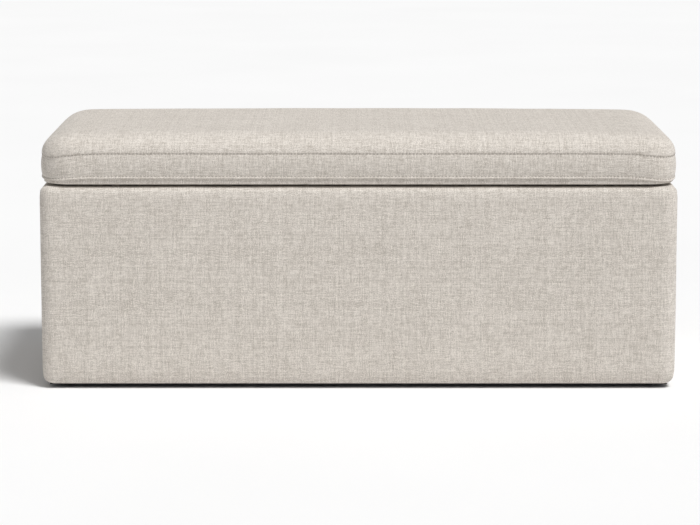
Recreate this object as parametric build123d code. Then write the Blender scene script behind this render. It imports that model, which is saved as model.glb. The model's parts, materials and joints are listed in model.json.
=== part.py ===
from build123d import *
import math
import os

# A rectangular upholstered storage ottoman: a boarded box, padded and covered in
# woven linen-look fabric, under a padded lid that hinges at the back and is held
# open by two slotted friction stays.
#
# Millimetres. +X runs to the right along the length, +Y to the hinged back and +Z up.
# The origin is on the floor, under the middle of the whole object's outline.

# ---- driving dimensions ----------------------------------------------------
body_width = 1000.0          # outside the fabric, end to end
body_depth = 420.0           # outside the fabric, front to back
base_height = 315.0          # underside of the box to its rim
lid_gap = 4.0                # rim to the underside of the lid
lid_height = 78.0            # underside of the lid to the top of its crown
lid_open_angle = 95.0        # degrees from closed to the end of the stays' slots

# ---- boards, padding and fabric --------------------------------------------
panel_thickness = 15.0
floor_thickness = 9.0
batten_size = 25.0
gusset_leg = 60.0
side_foam = 12.0             # front and ends
back_wadding_thickness = 3.0
cover_thickness = 1.5
lining_thickness = 1.0
dust_cover_thickness = 0.8
base_corner_radius = 20.0    # front corners, seen from above
base_bottom_radius = 10.0
base_rim_radius = 8.0
hem_width = 40.0             # cover turned under the box, and under the lid
dust_cover_inset = 12.0
cut_overrun = 1.0            # how far a cut runs past the face that it opens

# ---- lid --------------------------------------------------------------------
lid_board_thickness = 15.0
lid_seam_height = 48.0       # border to top panel
lid_band_height = 9.0        # lower band below the border's edge
lid_band_inset = 4.0         # the pulled-in strip under the border
lid_corner_radius = 48.0
lid_crown_radius = 38.0
lid_wadding_thickness = 5.0
lid_lining_thickness = 0.8
lid_lining_inset = 30.0

# ---- feet, bumpers and staples ----------------------------------------------
glide_height = 5.2
glide_radius = 12.0
glide_chamfer = 1.0
glide_nail_radius = 1.3
glide_nail_length = 18.0
glide_nail_overlap = 1.0      # nail moulded into the disc
bumper_radius = 6.0
bumper_rounding = 1.0
bumper_clearance = 0.2
bumper_end_offset = 120.0    # from the box's end to the bumper's centre
staple_wire = 0.6
staple_width = 1.2
staple_crown = 10.0
staple_leg = 7.0
staple_pitch = 62.0
dust_staple_inset = 17.5
lid_staple_inset = 36.0

# ---- hinges -----------------------------------------------------------------
hinge_spacing = 380.0        # middle hinge to each outer one
hinge_length = 70.0
hinge_leaf_thickness = 1.6
barrel_radius = 3.0
barrel_gap = 1.0             # back face to barrel
knuckle_count = 5
knuckle_gap = 0.3
knuckle_relief = 0.5         # leaf edge to the other leaf's knuckle
hinge_pin_radius = 1.5
pin_clearance = 0.05
pin_head_radius = 2.6
pin_head_height = 1.0
hinge_screw_spacing = 24.0

# ---- lid stays --------------------------------------------------------------
arm_floor_clearance = 40.0   # arm's lowest end to the floor lining, lid shut
stay_closed_angle = 28.0     # degrees between those two arms with the lid shut
stay_pivot_drop = 14.0       # lid pivot below the lid's underside
arm_width = 16.0
arm_thickness = 2.5
arm_end_metal = 1.3          # metal past the end of the slot, beyond a round end
stud_radius = 3.0
slot_clearance = 0.15        # each side of the stud, and past it at full travel
slot_closed_spare = 2.0      # slot left over above the stud with the lid shut
wall_plate_thickness = 2.0
wall_plate_width = 24.0
wall_plate_height = 70.0
wall_plate_corner = 6.0
wall_screw_offset = 26.0
washer_thickness = 1.0
washer_radius = 8.0
washer_bore_clearance = 0.1
spring_washer_thickness = 1.2
nut_height = 5.0
nut_radius = 5.5
stud_end = 1.0               # stud past the nut
stay_side_gap = 0.2          # between the arm and what it slides on
bracket_thickness = 2.0
bracket_length = 34.0
bracket_flange = 26.0
bracket_skirt = 9.0          # below the pivot
bracket_flat = 1.0           # straight edge left between the skirt's rounded corners
rivet_head_radius = 5.0
rivet_head_height = 1.4

# ---- screws -----------------------------------------------------------------
screw_radius = 1.75
screw_head_radius = 3.5
screw_head_height = 1.5
screw_recess_length = 3.6    # each bar of the cross in the head
screw_recess_width = 0.7
screw_recess_depth = 1.1
screw_hole_clearance = 0.1
frame_screw_spread = 0.7     # outer screws, as a share of the panel's half height
frame_screw_length = 45.0
batten_screw_length = 34.0
hinge_screw_length = 13.0
plate_screw_length = 13.0

# ---- levels and planes worked out from those ---------------------------------
barrel_reach = barrel_gap + 2 * barrel_radius
front_y = -(body_depth + barrel_reach) / 2
back_y = front_y + body_depth
half_width = body_width / 2
base_z = glide_height + dust_cover_thickness
rim_z = base_z + base_height
lid_z = rim_z + lid_gap
top_z = lid_z + lid_height
pin_y = back_y + barrel_gap + barrel_radius
pin_z = rim_z + lid_gap / 2

board_low_z = base_z + cover_thickness
board_high_z = rim_z - cover_thickness
side_padding = cover_thickness + side_foam
back_padding = cover_thickness + back_wadding_thickness
frame_half_x = half_width - side_padding
frame_front_y = front_y + side_padding
frame_back_y = back_y - back_padding
inner_half_x = frame_half_x - panel_thickness
inner_front_y = frame_front_y + panel_thickness
inner_back_y = frame_back_y - panel_thickness
floor_z = board_low_z + batten_size
floor_top_z = floor_z + floor_thickness

lid_board_z = lid_z + cover_thickness
lid_foam_z = lid_board_z + lid_board_thickness
lid_board_inset = lid_band_inset + cover_thickness
lid_lining_z = lid_z - lid_lining_thickness

OUT = "parts"


def block(x0, x1, y0, y1, z0, z1):
    """A box from its low and high corners."""
    return Pos((x0 + x1) / 2, (y0 + y1) / 2, (z0 + z1) / 2) * Box(x1 - x0, y1 - y0, z1 - z0)


def rod(start, direction, radius, length):
    """A round bar from start along direction."""
    return extrude(Plane(start, z_dir=direction) * Circle(radius), amount=length)


def save(name, *solids):
    """Writes one node as a STEP file; several solids share the node as a group."""
    shape = solids[0] if len(solids) == 1 else Compound(children=list(solids))
    export_step(shape, os.path.join(OUT, name + ".step"))


def inset_plan(inset, radius, z0, z1):
    """The body's plan, shrunk by inset all round and rounded at four corners."""
    width, depth = body_width - 2 * inset, body_depth - 2 * inset
    plan = RectangleRounded(width, depth, radius) if radius > 0 else Rectangle(width, depth)
    return extrude(Pos(0, (front_y + back_y) / 2, z0) * plan, amount=z1 - z0)


def base_body(inset):
    """The box's outer form shrunk by inset: round front corners, rolled rim and foot."""
    body = block(
        -half_width + inset, half_width - inset,
        front_y + inset, back_y - inset,
        base_z + inset, rim_z - inset,
    )
    uprights = body.edges().filter_by(Axis.Z).sort_by(Axis.Y)[:2]
    body = fillet(uprights, base_corner_radius - inset)
    for level, radius in ((-1, base_rim_radius), (0, base_bottom_radius)):
        face = body.faces().filter_by(Axis.Z).sort_by(Axis.Z)[level]
        rolled = face.edges().sort_by(Axis.Y)[:-1]
        body = fillet(rolled, radius - inset)
    return body


def lid_body(inset, low_z):
    """The lid's outer form above low_z, shrunk by inset at the sides and crown."""
    form = inset_plan(inset, lid_corner_radius - inset, low_z, top_z - inset)
    crown = form.faces().sort_by(Axis.Z)[-1].edges()
    return fillet(crown, lid_crown_radius - inset)


def screw(start, direction, length, grow=0.0):
    """A countersunk, cross-recessed wood screw, its head flush at start; grow makes its hole."""
    plane = Plane(start, z_dir=direction)
    head = loft([
        plane * Circle(screw_head_radius + grow),
        plane * Pos(0, 0, screw_head_height) * Circle(screw_radius + grow),
    ])
    body = head + extrude(plane * Circle(screw_radius + grow), amount=length)
    if grow > 0:
        return body
    for wide, tall in ((screw_recess_width, screw_recess_length),
                       (screw_recess_length, screw_recess_width)):
        body -= extrude(plane * Rectangle(wide, tall), amount=screw_recess_depth)
    return body


def staple(x, y, z, along_x, up):
    """A wire staple: its crown lies on the surface at z and its legs go in along up."""
    reach_x, reach_y = (staple_crown, staple_width) if along_x else (staple_width, staple_crown)
    low, high = sorted((z, z - up * staple_wire))
    crown = block(x - reach_x / 2, x + reach_x / 2, y - reach_y / 2, y + reach_y / 2, low, high)
    tip_low, tip_high = sorted((z, z + up * staple_leg))
    step = (staple_crown - staple_wire) / 2
    for side in (-1, 1):
        cx, cy = (x + side * step, y) if along_x else (x, y + side * step)
        dx, dy = (staple_wire, staple_width) if along_x else (staple_width, staple_wire)
        crown += block(cx - dx / 2, cx + dx / 2, cy - dy / 2, cy + dy / 2, tip_low, tip_high)
    return crown


def even_places(half_span, pitch):
    """Places spread evenly over -half_span to half_span, no further apart than pitch."""
    count = math.ceil(2 * half_span / pitch)
    return [-half_span + 2 * half_span * i / count for i in range(count + 1)]


# ---- the box's boards ---------------------------------------------------------
def frame_boards():
    """Four panels butted at the corners, the front and back ones running through."""
    save("front_panel", block(
        -frame_half_x, frame_half_x, frame_front_y, inner_front_y, board_low_z, board_high_z))
    save("back_panel", block(
        -frame_half_x, frame_half_x, inner_back_y, frame_back_y, board_low_z, board_high_z))
    for name, side in (("left", -1), ("right", 1)):
        x0, x1 = sorted((side * inner_half_x, side * frame_half_x))
        save(name + "_end_panel", block(
            x0, x1, inner_front_y, inner_back_y, board_low_z, board_high_z))


def frame_screws():
    """Three screws through the front and back panels into each end panel's edge."""
    screws = []
    x = frame_half_x - panel_thickness / 2
    span = (board_high_z - board_low_z) / 2
    for side_x in (-x, x):
        for step in (-frame_screw_spread, 0.0, frame_screw_spread):
            z = board_low_z + span + step * span
            screws.append(screw((side_x, frame_front_y, z), (0, 1, 0), frame_screw_length))
            screws.append(screw((side_x, frame_back_y, z), (0, -1, 0), frame_screw_length))
    save("frame_screws", *screws)


def floor_parts():
    """Battens round the foot of the panels, corner gussets and the board they carry."""
    end_y0, end_y1 = inner_front_y + batten_size, inner_back_y - batten_size
    save("front_floor_batten", block(
        -inner_half_x, inner_half_x, inner_front_y, end_y0, board_low_z, floor_z))
    save("back_floor_batten", block(
        -inner_half_x, inner_half_x, end_y1, inner_back_y, board_low_z, floor_z))
    for name, side in (("left", -1), ("right", 1)):
        x0, x1 = sorted((side * (inner_half_x - batten_size), side * inner_half_x))
        save(name + "_floor_batten", block(x0, x1, end_y0, end_y1, board_low_z, floor_z))
    save("centre_floor_batten", block(
        -batten_size / 2, batten_size / 2, end_y0, end_y1, board_low_z, floor_z))
    gussets = []
    corner_x = inner_half_x - batten_size
    for sx in (-1, 1):
        for sy, corner_y in ((1, end_y0), (-1, end_y1)):
            outline = Polyline(
                (sx * corner_x, corner_y),
                (sx * (corner_x - gusset_leg), corner_y),
                (sx * corner_x, corner_y + sy * gusset_leg),
                close=True,
            )
            face = make_face(Pos(0, 0, board_low_z) * outline)
            gussets.append(extrude(face, amount=batten_size, dir=(0, 0, 1)))
    save("corner_gussets", *gussets)
    save("floor_board", block(
        -inner_half_x, inner_half_x, inner_front_y, inner_back_y, floor_z, floor_top_z))


def batten_screws():
    """Screws through the battens into the panels around them."""
    screws = []
    z = board_low_z + batten_size / 2
    reach_x = inner_half_x - 2 * batten_size - gusset_leg
    for x in (-reach_x, -reach_x / 3, reach_x / 3, reach_x):
        screws.append(screw((x, inner_front_y + batten_size, z), (0, -1, 0), batten_screw_length))
        screws.append(screw((x, inner_back_y - batten_size, z), (0, 1, 0), batten_screw_length))
    mid_y = (inner_front_y + inner_back_y) / 2
    reach_y = (inner_back_y - inner_front_y) / 2 - 2 * batten_size - gusset_leg
    for side in (-1, 1):
        for y in (mid_y - reach_y, mid_y + reach_y):
            start = (side * (inner_half_x - batten_size), y, z)
            screws.append(screw(start, (side, 0, 0), batten_screw_length))
    save("batten_screws", *screws)


# ---- the box's padding and fabric ----------------------------------------------
def base_padding():
    """Foam on the front and ends and thin wadding on the back, under the cover."""
    far = body_width
    soft = base_body(cover_thickness) & block(-far, far, -far, far, board_low_z, board_high_z)
    save("front_foam", soft & block(-far, far, -far, frame_front_y, 0, rim_z))
    save("left_end_foam", soft & block(-far, -frame_half_x, frame_front_y, far, 0, rim_z))
    save("right_end_foam", soft & block(frame_half_x, far, frame_front_y, far, 0, rim_z))
    save("back_wadding", soft & block(-frame_half_x, frame_half_x, frame_back_y, far, 0, rim_z))


def outer_cover():
    """One fabric sleeve: down the sides, over the rim and turned under the box."""
    shell = base_body(0) - base_body(cover_thickness)
    shell -= block(-inner_half_x, inner_half_x, inner_front_y, inner_back_y,
                   board_low_z, rim_z + cut_overrun)
    hem_x = half_width - hem_width
    shell -= block(-hem_x, hem_x, front_y + hem_width, back_y - hem_width, 0, rim_z)
    save("outer_cover", shell)


def box_linings():
    """The fabric bag inside the box, and the thin cloth that closes its underside."""
    side = block(-inner_half_x, inner_half_x, inner_front_y, inner_back_y,
                 floor_top_z, board_high_z)
    side -= block(
        -inner_half_x + lining_thickness, inner_half_x - lining_thickness,
        inner_front_y + lining_thickness, inner_back_y - lining_thickness,
        floor_top_z - cut_overrun, rim_z + cut_overrun,
    )
    save("side_lining", side)
    save("floor_lining", block(
        -inner_half_x + lining_thickness, inner_half_x - lining_thickness,
        inner_front_y + lining_thickness, inner_back_y - lining_thickness,
        floor_top_z, floor_top_z + lining_thickness,
    ))
    save("dust_cover", inset_plan(dust_cover_inset, 0, glide_height, base_z))


def staple_row(inset, z, up, keep_clear=None):
    """Staples round a rectangle inset from the body's plan, facing along each side."""
    half_x, mid_y = half_width - inset, (front_y + back_y) / 2
    half_y = body_depth / 2 - inset
    staples = []
    for x in even_places(half_x - staple_crown, staple_pitch):
        staples += [staple(x, mid_y + s * half_y, z, True, up) for s in (-1, 1)]
    for step in even_places(half_y - staple_crown, staple_pitch):
        y = mid_y + step
        if keep_clear is None or not keep_clear[0] < y < keep_clear[1]:
            staples += [staple(s * half_x, y, z, False, up) for s in (-1, 1)]
    return staples


def feet_and_bumpers():
    """Nailed plastic glides under the corners, and soft bumpers on the rim."""
    inset = side_padding + panel_thickness + batten_size / 2
    back_inset = back_padding + panel_thickness + batten_size / 2
    glides = []
    for x in (-half_width + inset, half_width - inset):
        for y in (front_y + inset, back_y - back_inset):
            disc = rod((x, y, 0), (0, 0, 1), glide_radius, glide_height)
            disc = chamfer(disc.faces().sort_by(Axis.Z)[0].edges(), glide_chamfer)
            nail = rod((x, y, glide_height - glide_nail_overlap), (0, 0, 1),
                       glide_nail_radius, glide_nail_length + glide_nail_overlap)
            glides.append(disc + nail)
    save("glides", *glides)

    bumpers = []
    height = lid_gap - bumper_clearance
    board_mid_x = frame_half_x - panel_thickness / 2
    board_mid_y = frame_front_y + panel_thickness / 2
    for side in (-1, 1):
        for x, y in (
            (side * (half_width - bumper_end_offset), board_mid_y),
            (side * board_mid_x, front_y + bumper_end_offset),
        ):
            pad = rod((x, y, rim_z), (0, 0, 1), bumper_radius, height)
            bumpers.append(fillet(pad.faces().sort_by(Axis.Z)[-1].edges(), bumper_rounding))
    save("rim_bumpers", *bumpers)
    save("dust_cover_staples", *staple_row(dust_staple_inset, glide_height, 1))


# ---- the lid ----------------------------------------------------------------------
def lid_parts():
    """Board, foam, wadding and the three sewn pieces of the cover, with its lining."""
    board = inset_plan(lid_board_inset, lid_corner_radius - lid_board_inset,
                       lid_board_z, lid_foam_z)
    save("lid_board", board)
    foam = lid_body(cover_thickness + lid_wadding_thickness, lid_foam_z)
    save("lid_foam", foam)
    band_z, seam_z = lid_z + lid_band_height, lid_z + lid_seam_height
    save("lid_wadding", lid_body(cover_thickness, band_z) - foam - board)

    shell = lid_body(0, band_z) - lid_body(cover_thickness, band_z)
    far = body_width
    save("lid_border", shell & block(-far, far, -far, far, 0, seam_z))
    save("lid_top_panel", shell & block(-far, far, -far, far, seam_z, top_z + cut_overrun))

    band = inset_plan(lid_band_inset, lid_corner_radius - lid_band_inset, lid_z, band_z)
    band -= inset_plan(lid_board_inset, lid_corner_radius - lid_board_inset,
                       lid_board_z, band_z)
    band -= inset_plan(hem_width, 0, lid_z, lid_board_z)
    save("lid_lower_band", band)
    save("lid_lining", inset_plan(lid_lining_inset, 0, lid_lining_z, lid_z))
    near = bracket_length / 2 + staple_crown
    save("lid_lining_staples", *staple_row(
        lid_staple_inset, lid_lining_z, 1, (pivot_y - near, pivot_y + near)))


# ---- hinges -------------------------------------------------------------------------
def hinge_leaf(centre_x, on_lid):
    """One leaf with its share of the knuckles, bored for the pin and for three screws."""
    plate_z = lid_z - hinge_leaf_thickness if on_lid else rim_z
    half = hinge_length / 2
    inner_y = inner_back_y
    leaf = block(centre_x - half, centre_x + half, inner_y, pin_y,
                 plate_z, plate_z + hinge_leaf_thickness)
    step = hinge_length / knuckle_count
    for i in range(knuckle_count):
        x0 = centre_x - half + i * step
        if (i % 2 == 1) == on_lid:
            leaf += rod((x0 + knuckle_gap / 2, pin_y, pin_z), (1, 0, 0), barrel_radius,
                        step - knuckle_gap)
            for x in (x0, x0 + step - knuckle_gap / 2):
                leaf -= block(x, x + knuckle_gap / 2, pin_y - barrel_radius - knuckle_relief,
                              pin_y + barrel_radius, pin_z - lid_gap, pin_z + lid_gap)
        else:
            leaf -= block(x0, x0 + step, pin_y - barrel_radius - knuckle_relief,
                          pin_y + barrel_radius, pin_z - lid_gap, pin_z + lid_gap)
    leaf -= rod((centre_x - half, pin_y, pin_z), (1, 0, 0),
                hinge_pin_radius + pin_clearance, hinge_length)
    for place in hinge_screw_places(centre_x, on_lid):
        leaf -= screw(*place, hinge_screw_length, grow=screw_hole_clearance)
    return leaf


def hinge_screw_places(centre_x, on_lid):
    """Where a leaf's three screws start, at its face in the gap, and their direction."""
    y = frame_back_y - panel_thickness / 2
    z = lid_z - hinge_leaf_thickness if on_lid else rim_z + hinge_leaf_thickness
    up = 1 if on_lid else -1
    return [((centre_x + n * hinge_screw_spacing, y, z), (0, 0, up)) for n in (-1, 0, 1)]


def hinges():
    """Three butt hinges between the back rim and the lid, with their pins and screws."""
    box_screws, lid_screws = [], []
    for name, x in (("left", -hinge_spacing), ("centre", 0.0), ("right", hinge_spacing)):
        save(name + "_hinge_box_leaf", hinge_leaf(x, False))
        save(name + "_hinge_lid_leaf", hinge_leaf(x, True))
        half = hinge_length / 2
        pin = rod((x - half, pin_y, pin_z), (1, 0, 0), hinge_pin_radius, hinge_length)
        pin += rod((x - half - pin_head_height, pin_y, pin_z), (1, 0, 0), pin_head_radius,
                   pin_head_height)
        pin += rod((x + half, pin_y, pin_z), (1, 0, 0), pin_head_radius, pin_head_height)
        save(name + "_hinge_pin", pin)
        box_screws += [screw(*p, hinge_screw_length) for p in hinge_screw_places(x, False)]
        lid_screws += [screw(*p, hinge_screw_length) for p in hinge_screw_places(x, True)]
    save("box_hinge_screws", *box_screws)
    save("lid_hinge_screws", *lid_screws)


# ---- lid stays -------------------------------------------------------------------------
# The lid pivot and the wall stud are equally far from the hinge axis, so the arm turns
# at exactly half the lid's angle and its slot slides along the stud. With the lid shut
# the arm hangs down inside the box, so its length sets that radius.
open_half_sine = math.sin(math.radians(stay_closed_angle + lid_open_angle) / 2)
pivot_height = lid_z - stay_pivot_drop - floor_top_z - lining_thickness
arm_reach = pivot_height - arm_floor_clearance - arm_width / 2 - arm_end_metal
stay_radius = arm_reach / (2 * open_half_sine)    # hinge axis to the pivot, and to the stud
pivot_rise = lid_z - stay_pivot_drop - pin_z
pivot_angle = math.asin(pivot_rise / stay_radius)
stud_angle = pivot_angle - math.radians(stay_closed_angle)
pivot_y = pin_y - stay_radius * math.cos(pivot_angle)
pivot_z = pin_z + pivot_rise
stud_y = pin_y - stay_radius * math.cos(stud_angle)
stud_z = pin_z + stay_radius * math.sin(stud_angle)
closed_reach = 2 * stay_radius * math.sin(math.radians(stay_closed_angle) / 2)
open_reach = 2 * stay_radius * open_half_sine

# From the lining inwards: wall plate, washer, arm, washer, spring washer, nut.
wall_x = inner_half_x - lining_thickness
plate_x = wall_x - wall_plate_thickness
outer_washer_x = plate_x - washer_thickness
arm_x = outer_washer_x - stay_side_gap
arm_inner_x = arm_x - arm_thickness
inner_washer_x = arm_inner_x - stay_side_gap - washer_thickness
spring_x = inner_washer_x - spring_washer_thickness
nut_x = spring_x - nut_height
bracket_x = arm_inner_x - stay_side_gap


def stay_arm(side):
    """A slotted flat bar from the lid pivot down past the wall stud."""
    lean = math.degrees(math.atan2(stud_y - pivot_y, pivot_z - stud_z))
    plane = Plane(
        origin=(side * arm_x, pivot_y, pivot_z),
        x_dir=(0, math.sin(math.radians(lean)), -math.cos(math.radians(lean))),
        z_dir=(-side, 0, 0),
    )
    slot_start = closed_reach - slot_closed_spare
    slot_end = open_reach + slot_clearance
    bar_length = slot_end + arm_end_metal
    bar = plane * Pos(bar_length / 2, 0) * SlotCenterToCenter(bar_length, arm_width)
    arm = extrude(bar, amount=arm_thickness)
    slot = plane * Pos((slot_start + slot_end) / 2, 0) * SlotCenterToCenter(
        slot_end - slot_start, 2 * (stud_radius + slot_clearance))
    arm -= extrude(slot, amount=arm_thickness)
    arm -= extrude(plane * Circle(stud_radius + washer_bore_clearance), amount=arm_thickness)
    return arm


def across(side, outer_x, inner_x, y, z, radius):
    """A round bar along X between two distances from the middle, on the given side."""
    return rod((side * outer_x, y, z), (-side, 0, 0), radius, outer_x - inner_x)


def wall_parts(name, side):
    """The stay's fixed end: plate, stud, washers and nut on the end panel."""
    x0, x1 = sorted((side * plate_x, side * wall_x))
    half_w, half_h = wall_plate_width / 2, wall_plate_height / 2
    plate = block(x0, x1, stud_y - half_w, stud_y + half_w, stud_z - half_h, stud_z + half_h)
    plate = fillet(plate.edges().filter_by(Axis.X), wall_plate_corner)
    plate -= across(side, wall_x, plate_x, stud_y, stud_z, stud_radius)
    for start, direction in wall_screw_places(side):
        plate -= screw(start, direction, plate_screw_length, grow=screw_hole_clearance)
    save(name + "_stay_wall_plate", plate)
    save(name + "_stay_stud", across(
        side, wall_x, nut_x - stud_end, stud_y, stud_z, stud_radius))

    bore = stud_radius + washer_bore_clearance
    rings = []
    for outer, inner in (
        (plate_x, outer_washer_x),
        (inner_washer_x + washer_thickness, inner_washer_x),
        (inner_washer_x, spring_x),
    ):
        ring = across(side, outer, inner, stud_y, stud_z, washer_radius)
        rings.append(ring - across(side, outer, inner, stud_y, stud_z, bore))
    save(name + "_stay_washers", *rings)
    nut = extrude(
        Plane((side * spring_x, stud_y, stud_z), z_dir=(-side, 0, 0))
        * RegularPolygon(nut_radius, 6),
        amount=nut_height,
    )
    save(name + "_stay_nut", nut - across(
        side, spring_x, nut_x, stud_y, stud_z, stud_radius + pin_clearance))


def wall_screw_places(side):
    """Two screws per wall plate, one above and one below the stud."""
    return [((side * plate_x, stud_y, stud_z + n * wall_screw_offset), (side, 0, 0))
            for n in (-1, 1)]


def bracket_screw_places(side):
    """Two screws up through each lid bracket's flange."""
    x = side * (bracket_x - bracket_flange / 2 - bracket_thickness / 2)
    z = lid_lining_z - bracket_thickness
    return [((x, pivot_y + n * bracket_length / 4, z), (0, 0, 1)) for n in (-1, 1)]


def lid_bracket_parts(name, side):
    """The stay's moving end: an angle bracket under the lid and the pivot rivet."""
    half = bracket_length / 2
    x0, x1 = sorted((side * bracket_x, side * (bracket_x - bracket_thickness)))
    f0, f1 = sorted((side * bracket_x, side * (bracket_x - bracket_flange)))
    skirt = block(x0, x1, pivot_y - half, pivot_y + half, pivot_z - bracket_skirt, lid_lining_z)
    low_edges = skirt.edges().filter_by(Axis.X).group_by(Axis.Z)[0]
    skirt = fillet(low_edges, bracket_skirt - bracket_flat)
    bracket = skirt + block(f0, f1, pivot_y - half, pivot_y + half,
                            lid_lining_z - bracket_thickness, lid_lining_z)
    bracket -= across(side, bracket_x, bracket_x - bracket_thickness,
                      pivot_y, pivot_z, stud_radius + pin_clearance)
    for start, direction in bracket_screw_places(side):
        bracket -= screw(start, direction, plate_screw_length, grow=screw_hole_clearance)
    save(name + "_stay_lid_bracket", bracket)

    outer_head_x = arm_x + stay_side_gap
    inner_head_x = bracket_x - bracket_thickness
    rivet = across(side, outer_head_x, inner_head_x, pivot_y, pivot_z, stud_radius)
    rivet += across(side, outer_head_x + rivet_head_height, outer_head_x,
                    pivot_y, pivot_z, rivet_head_radius)
    rivet += across(side, inner_head_x, inner_head_x - rivet_head_height,
                    pivot_y, pivot_z, rivet_head_radius)
    save(name + "_stay_rivet", rivet)


def stays():
    """Both slotted stays, left and right."""
    wall_screws, bracket_screws = [], []
    for name, side in (("left", -1), ("right", 1)):
        save(name + "_stay_arm", stay_arm(side))
        wall_parts(name, side)
        lid_bracket_parts(name, side)
        wall_screws += [screw(*p, plate_screw_length) for p in wall_screw_places(side)]
        bracket_screws += [screw(*p, plate_screw_length) for p in bracket_screw_places(side)]
    save("wall_plate_screws", *wall_screws)
    save("lid_bracket_screws", *bracket_screws)


os.makedirs(OUT, exist_ok=True)
frame_boards()
frame_screws()
floor_parts()
batten_screws()
base_padding()
outer_cover()
box_linings()
feet_and_bumpers()
lid_parts()
hinges()
stays()
print("hinge axis y", round(pin_y, 3), "z", round(pin_z, 3))
print("lid pivot y", round(pivot_y, 3), "z", round(pivot_z, 3))
print("wall stud y", round(stud_y, 3), "z", round(stud_z, 3))
print("slot reach", round(closed_reach, 2), "to", round(open_reach, 2))
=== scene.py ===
"""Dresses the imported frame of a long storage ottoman: its woven cover, cushion, linings and fittings.

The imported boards, hinges, stays, screws and staples keep their shapes and get their finishes here.
Every soft piece is made again as the cloth or padding that it is, in metres, in the frame's own place.
"""

from __future__ import annotations

import json
import logging
import math
from dataclasses import dataclass
from enum import Enum

import bmesh
import bpy
import numpy as np
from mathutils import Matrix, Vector, noise

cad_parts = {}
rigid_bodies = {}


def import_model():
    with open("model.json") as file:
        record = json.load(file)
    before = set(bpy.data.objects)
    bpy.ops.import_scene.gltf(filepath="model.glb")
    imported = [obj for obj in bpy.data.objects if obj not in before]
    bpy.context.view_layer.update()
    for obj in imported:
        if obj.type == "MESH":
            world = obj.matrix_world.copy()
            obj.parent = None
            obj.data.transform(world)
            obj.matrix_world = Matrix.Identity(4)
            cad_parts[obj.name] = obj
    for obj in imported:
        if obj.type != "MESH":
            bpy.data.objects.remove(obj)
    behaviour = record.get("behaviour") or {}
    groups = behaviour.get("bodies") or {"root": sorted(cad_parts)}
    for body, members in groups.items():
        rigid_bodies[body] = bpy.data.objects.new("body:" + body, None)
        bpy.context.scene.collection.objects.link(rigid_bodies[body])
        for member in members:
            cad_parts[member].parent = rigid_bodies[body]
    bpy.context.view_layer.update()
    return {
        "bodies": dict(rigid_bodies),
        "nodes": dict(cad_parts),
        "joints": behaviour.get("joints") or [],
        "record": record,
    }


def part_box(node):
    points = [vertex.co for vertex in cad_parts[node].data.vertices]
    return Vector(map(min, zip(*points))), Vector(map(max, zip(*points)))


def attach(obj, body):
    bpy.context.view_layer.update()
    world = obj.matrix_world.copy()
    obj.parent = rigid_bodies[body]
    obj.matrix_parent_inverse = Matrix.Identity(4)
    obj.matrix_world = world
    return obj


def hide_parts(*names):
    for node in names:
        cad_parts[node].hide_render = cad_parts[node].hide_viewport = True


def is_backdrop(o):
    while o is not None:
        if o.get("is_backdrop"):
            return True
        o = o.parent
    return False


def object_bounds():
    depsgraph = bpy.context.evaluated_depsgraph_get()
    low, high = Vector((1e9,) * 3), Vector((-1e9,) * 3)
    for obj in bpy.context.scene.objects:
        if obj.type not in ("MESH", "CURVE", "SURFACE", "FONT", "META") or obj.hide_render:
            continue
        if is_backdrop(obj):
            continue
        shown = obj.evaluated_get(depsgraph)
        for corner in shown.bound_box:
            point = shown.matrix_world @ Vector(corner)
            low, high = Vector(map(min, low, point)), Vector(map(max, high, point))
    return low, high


LOG = logging.getLogger("ottoman")
MM = 0.001
WEAVE_MAP = "weave"
TINY = 1e-9
SEED_SLANT = 1.7
DOUBLED = 0.05 * MM
EASED_SHARE = 0.9
EASED_LEVELS = (0.0, 0.04, 0.15, 0.35, 0.65, 1.0)
DEEPEST_DRAW = 0.85
CHANCE_STEP = 13.7
CHANCE_SPREAD = 91.0
CLOTH_QUALITY = 5
CLOTH_MASS = 0.3
CLOTH_STRETCH = 15.0
CLOTH_SHEAR = 5.0
CLOTH_BEND = 0.8
SMOOTH_ANGLE = math.radians(40)


# ---- small tools ---------------------------------------------------------------
def smooth_step(low: float, high: float, value: np.ndarray) -> np.ndarray:
    """Rises smoothly from 0 at low to 1 at high.

    Args:
        low: where the rise starts.
        high: where it ends.
        value: the numbers to map.

    Returns:
        An array of shares from 0 to 1.
    """
    share = np.clip((value - low) / (high - low), 0.0, 1.0)
    return share * share * (3.0 - 2.0 * share)


def ripple(points: np.ndarray, wavelength: float, seed: float) -> np.ndarray:
    """Smooth random waves over points in space.

    Args:
        points: one row of x, y, z per point, in metres.
        wavelength: distance between waves, in metres.
        seed: moves the pattern, so that two cloths differ.

    Returns:
        One number from about -1 to 1 per point.
    """
    shift = Vector((seed, seed * SEED_SLANT, -seed))
    return np.array([noise.noise(Vector(p) / wavelength + shift) for p in points])


def waves(points: np.ndarray, *kinds: Wave) -> np.ndarray:
    """Several ripples added up, each given as its size, its seed and its height."""
    return sum(ripple(points, size, seed) * height for size, seed, height in kinds)


def select_only(piece: bpy.types.Object) -> None:
    """Deselects everything, then selects and activates one piece."""
    bpy.ops.object.select_all(action="DESELECT")
    piece.select_set(True)
    bpy.context.view_layer.objects.active = piece


def apply_modifier(piece: bpy.types.Object, kind: str, **settings: object) -> None:
    """Adds a modifier, sets it and applies it.

    Args:
        piece: the mesh to change.
        kind: the modifier's type, such as "BEVEL".
        **settings: values for the modifier's own properties.
    """
    select_only(piece)
    modifier = piece.modifiers.new(kind.title(), kind)
    for name, value in settings.items():
        setattr(modifier, name, value)
    bpy.ops.object.modifier_apply(modifier=modifier.name)


def positions(piece: bpy.types.Object) -> np.ndarray:
    """A piece's points, one row of x, y, z each."""
    flat = np.zeros(len(piece.data.vertices) * 3)
    piece.data.vertices.foreach_get("co", flat)
    return flat.reshape(-1, 3)


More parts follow.
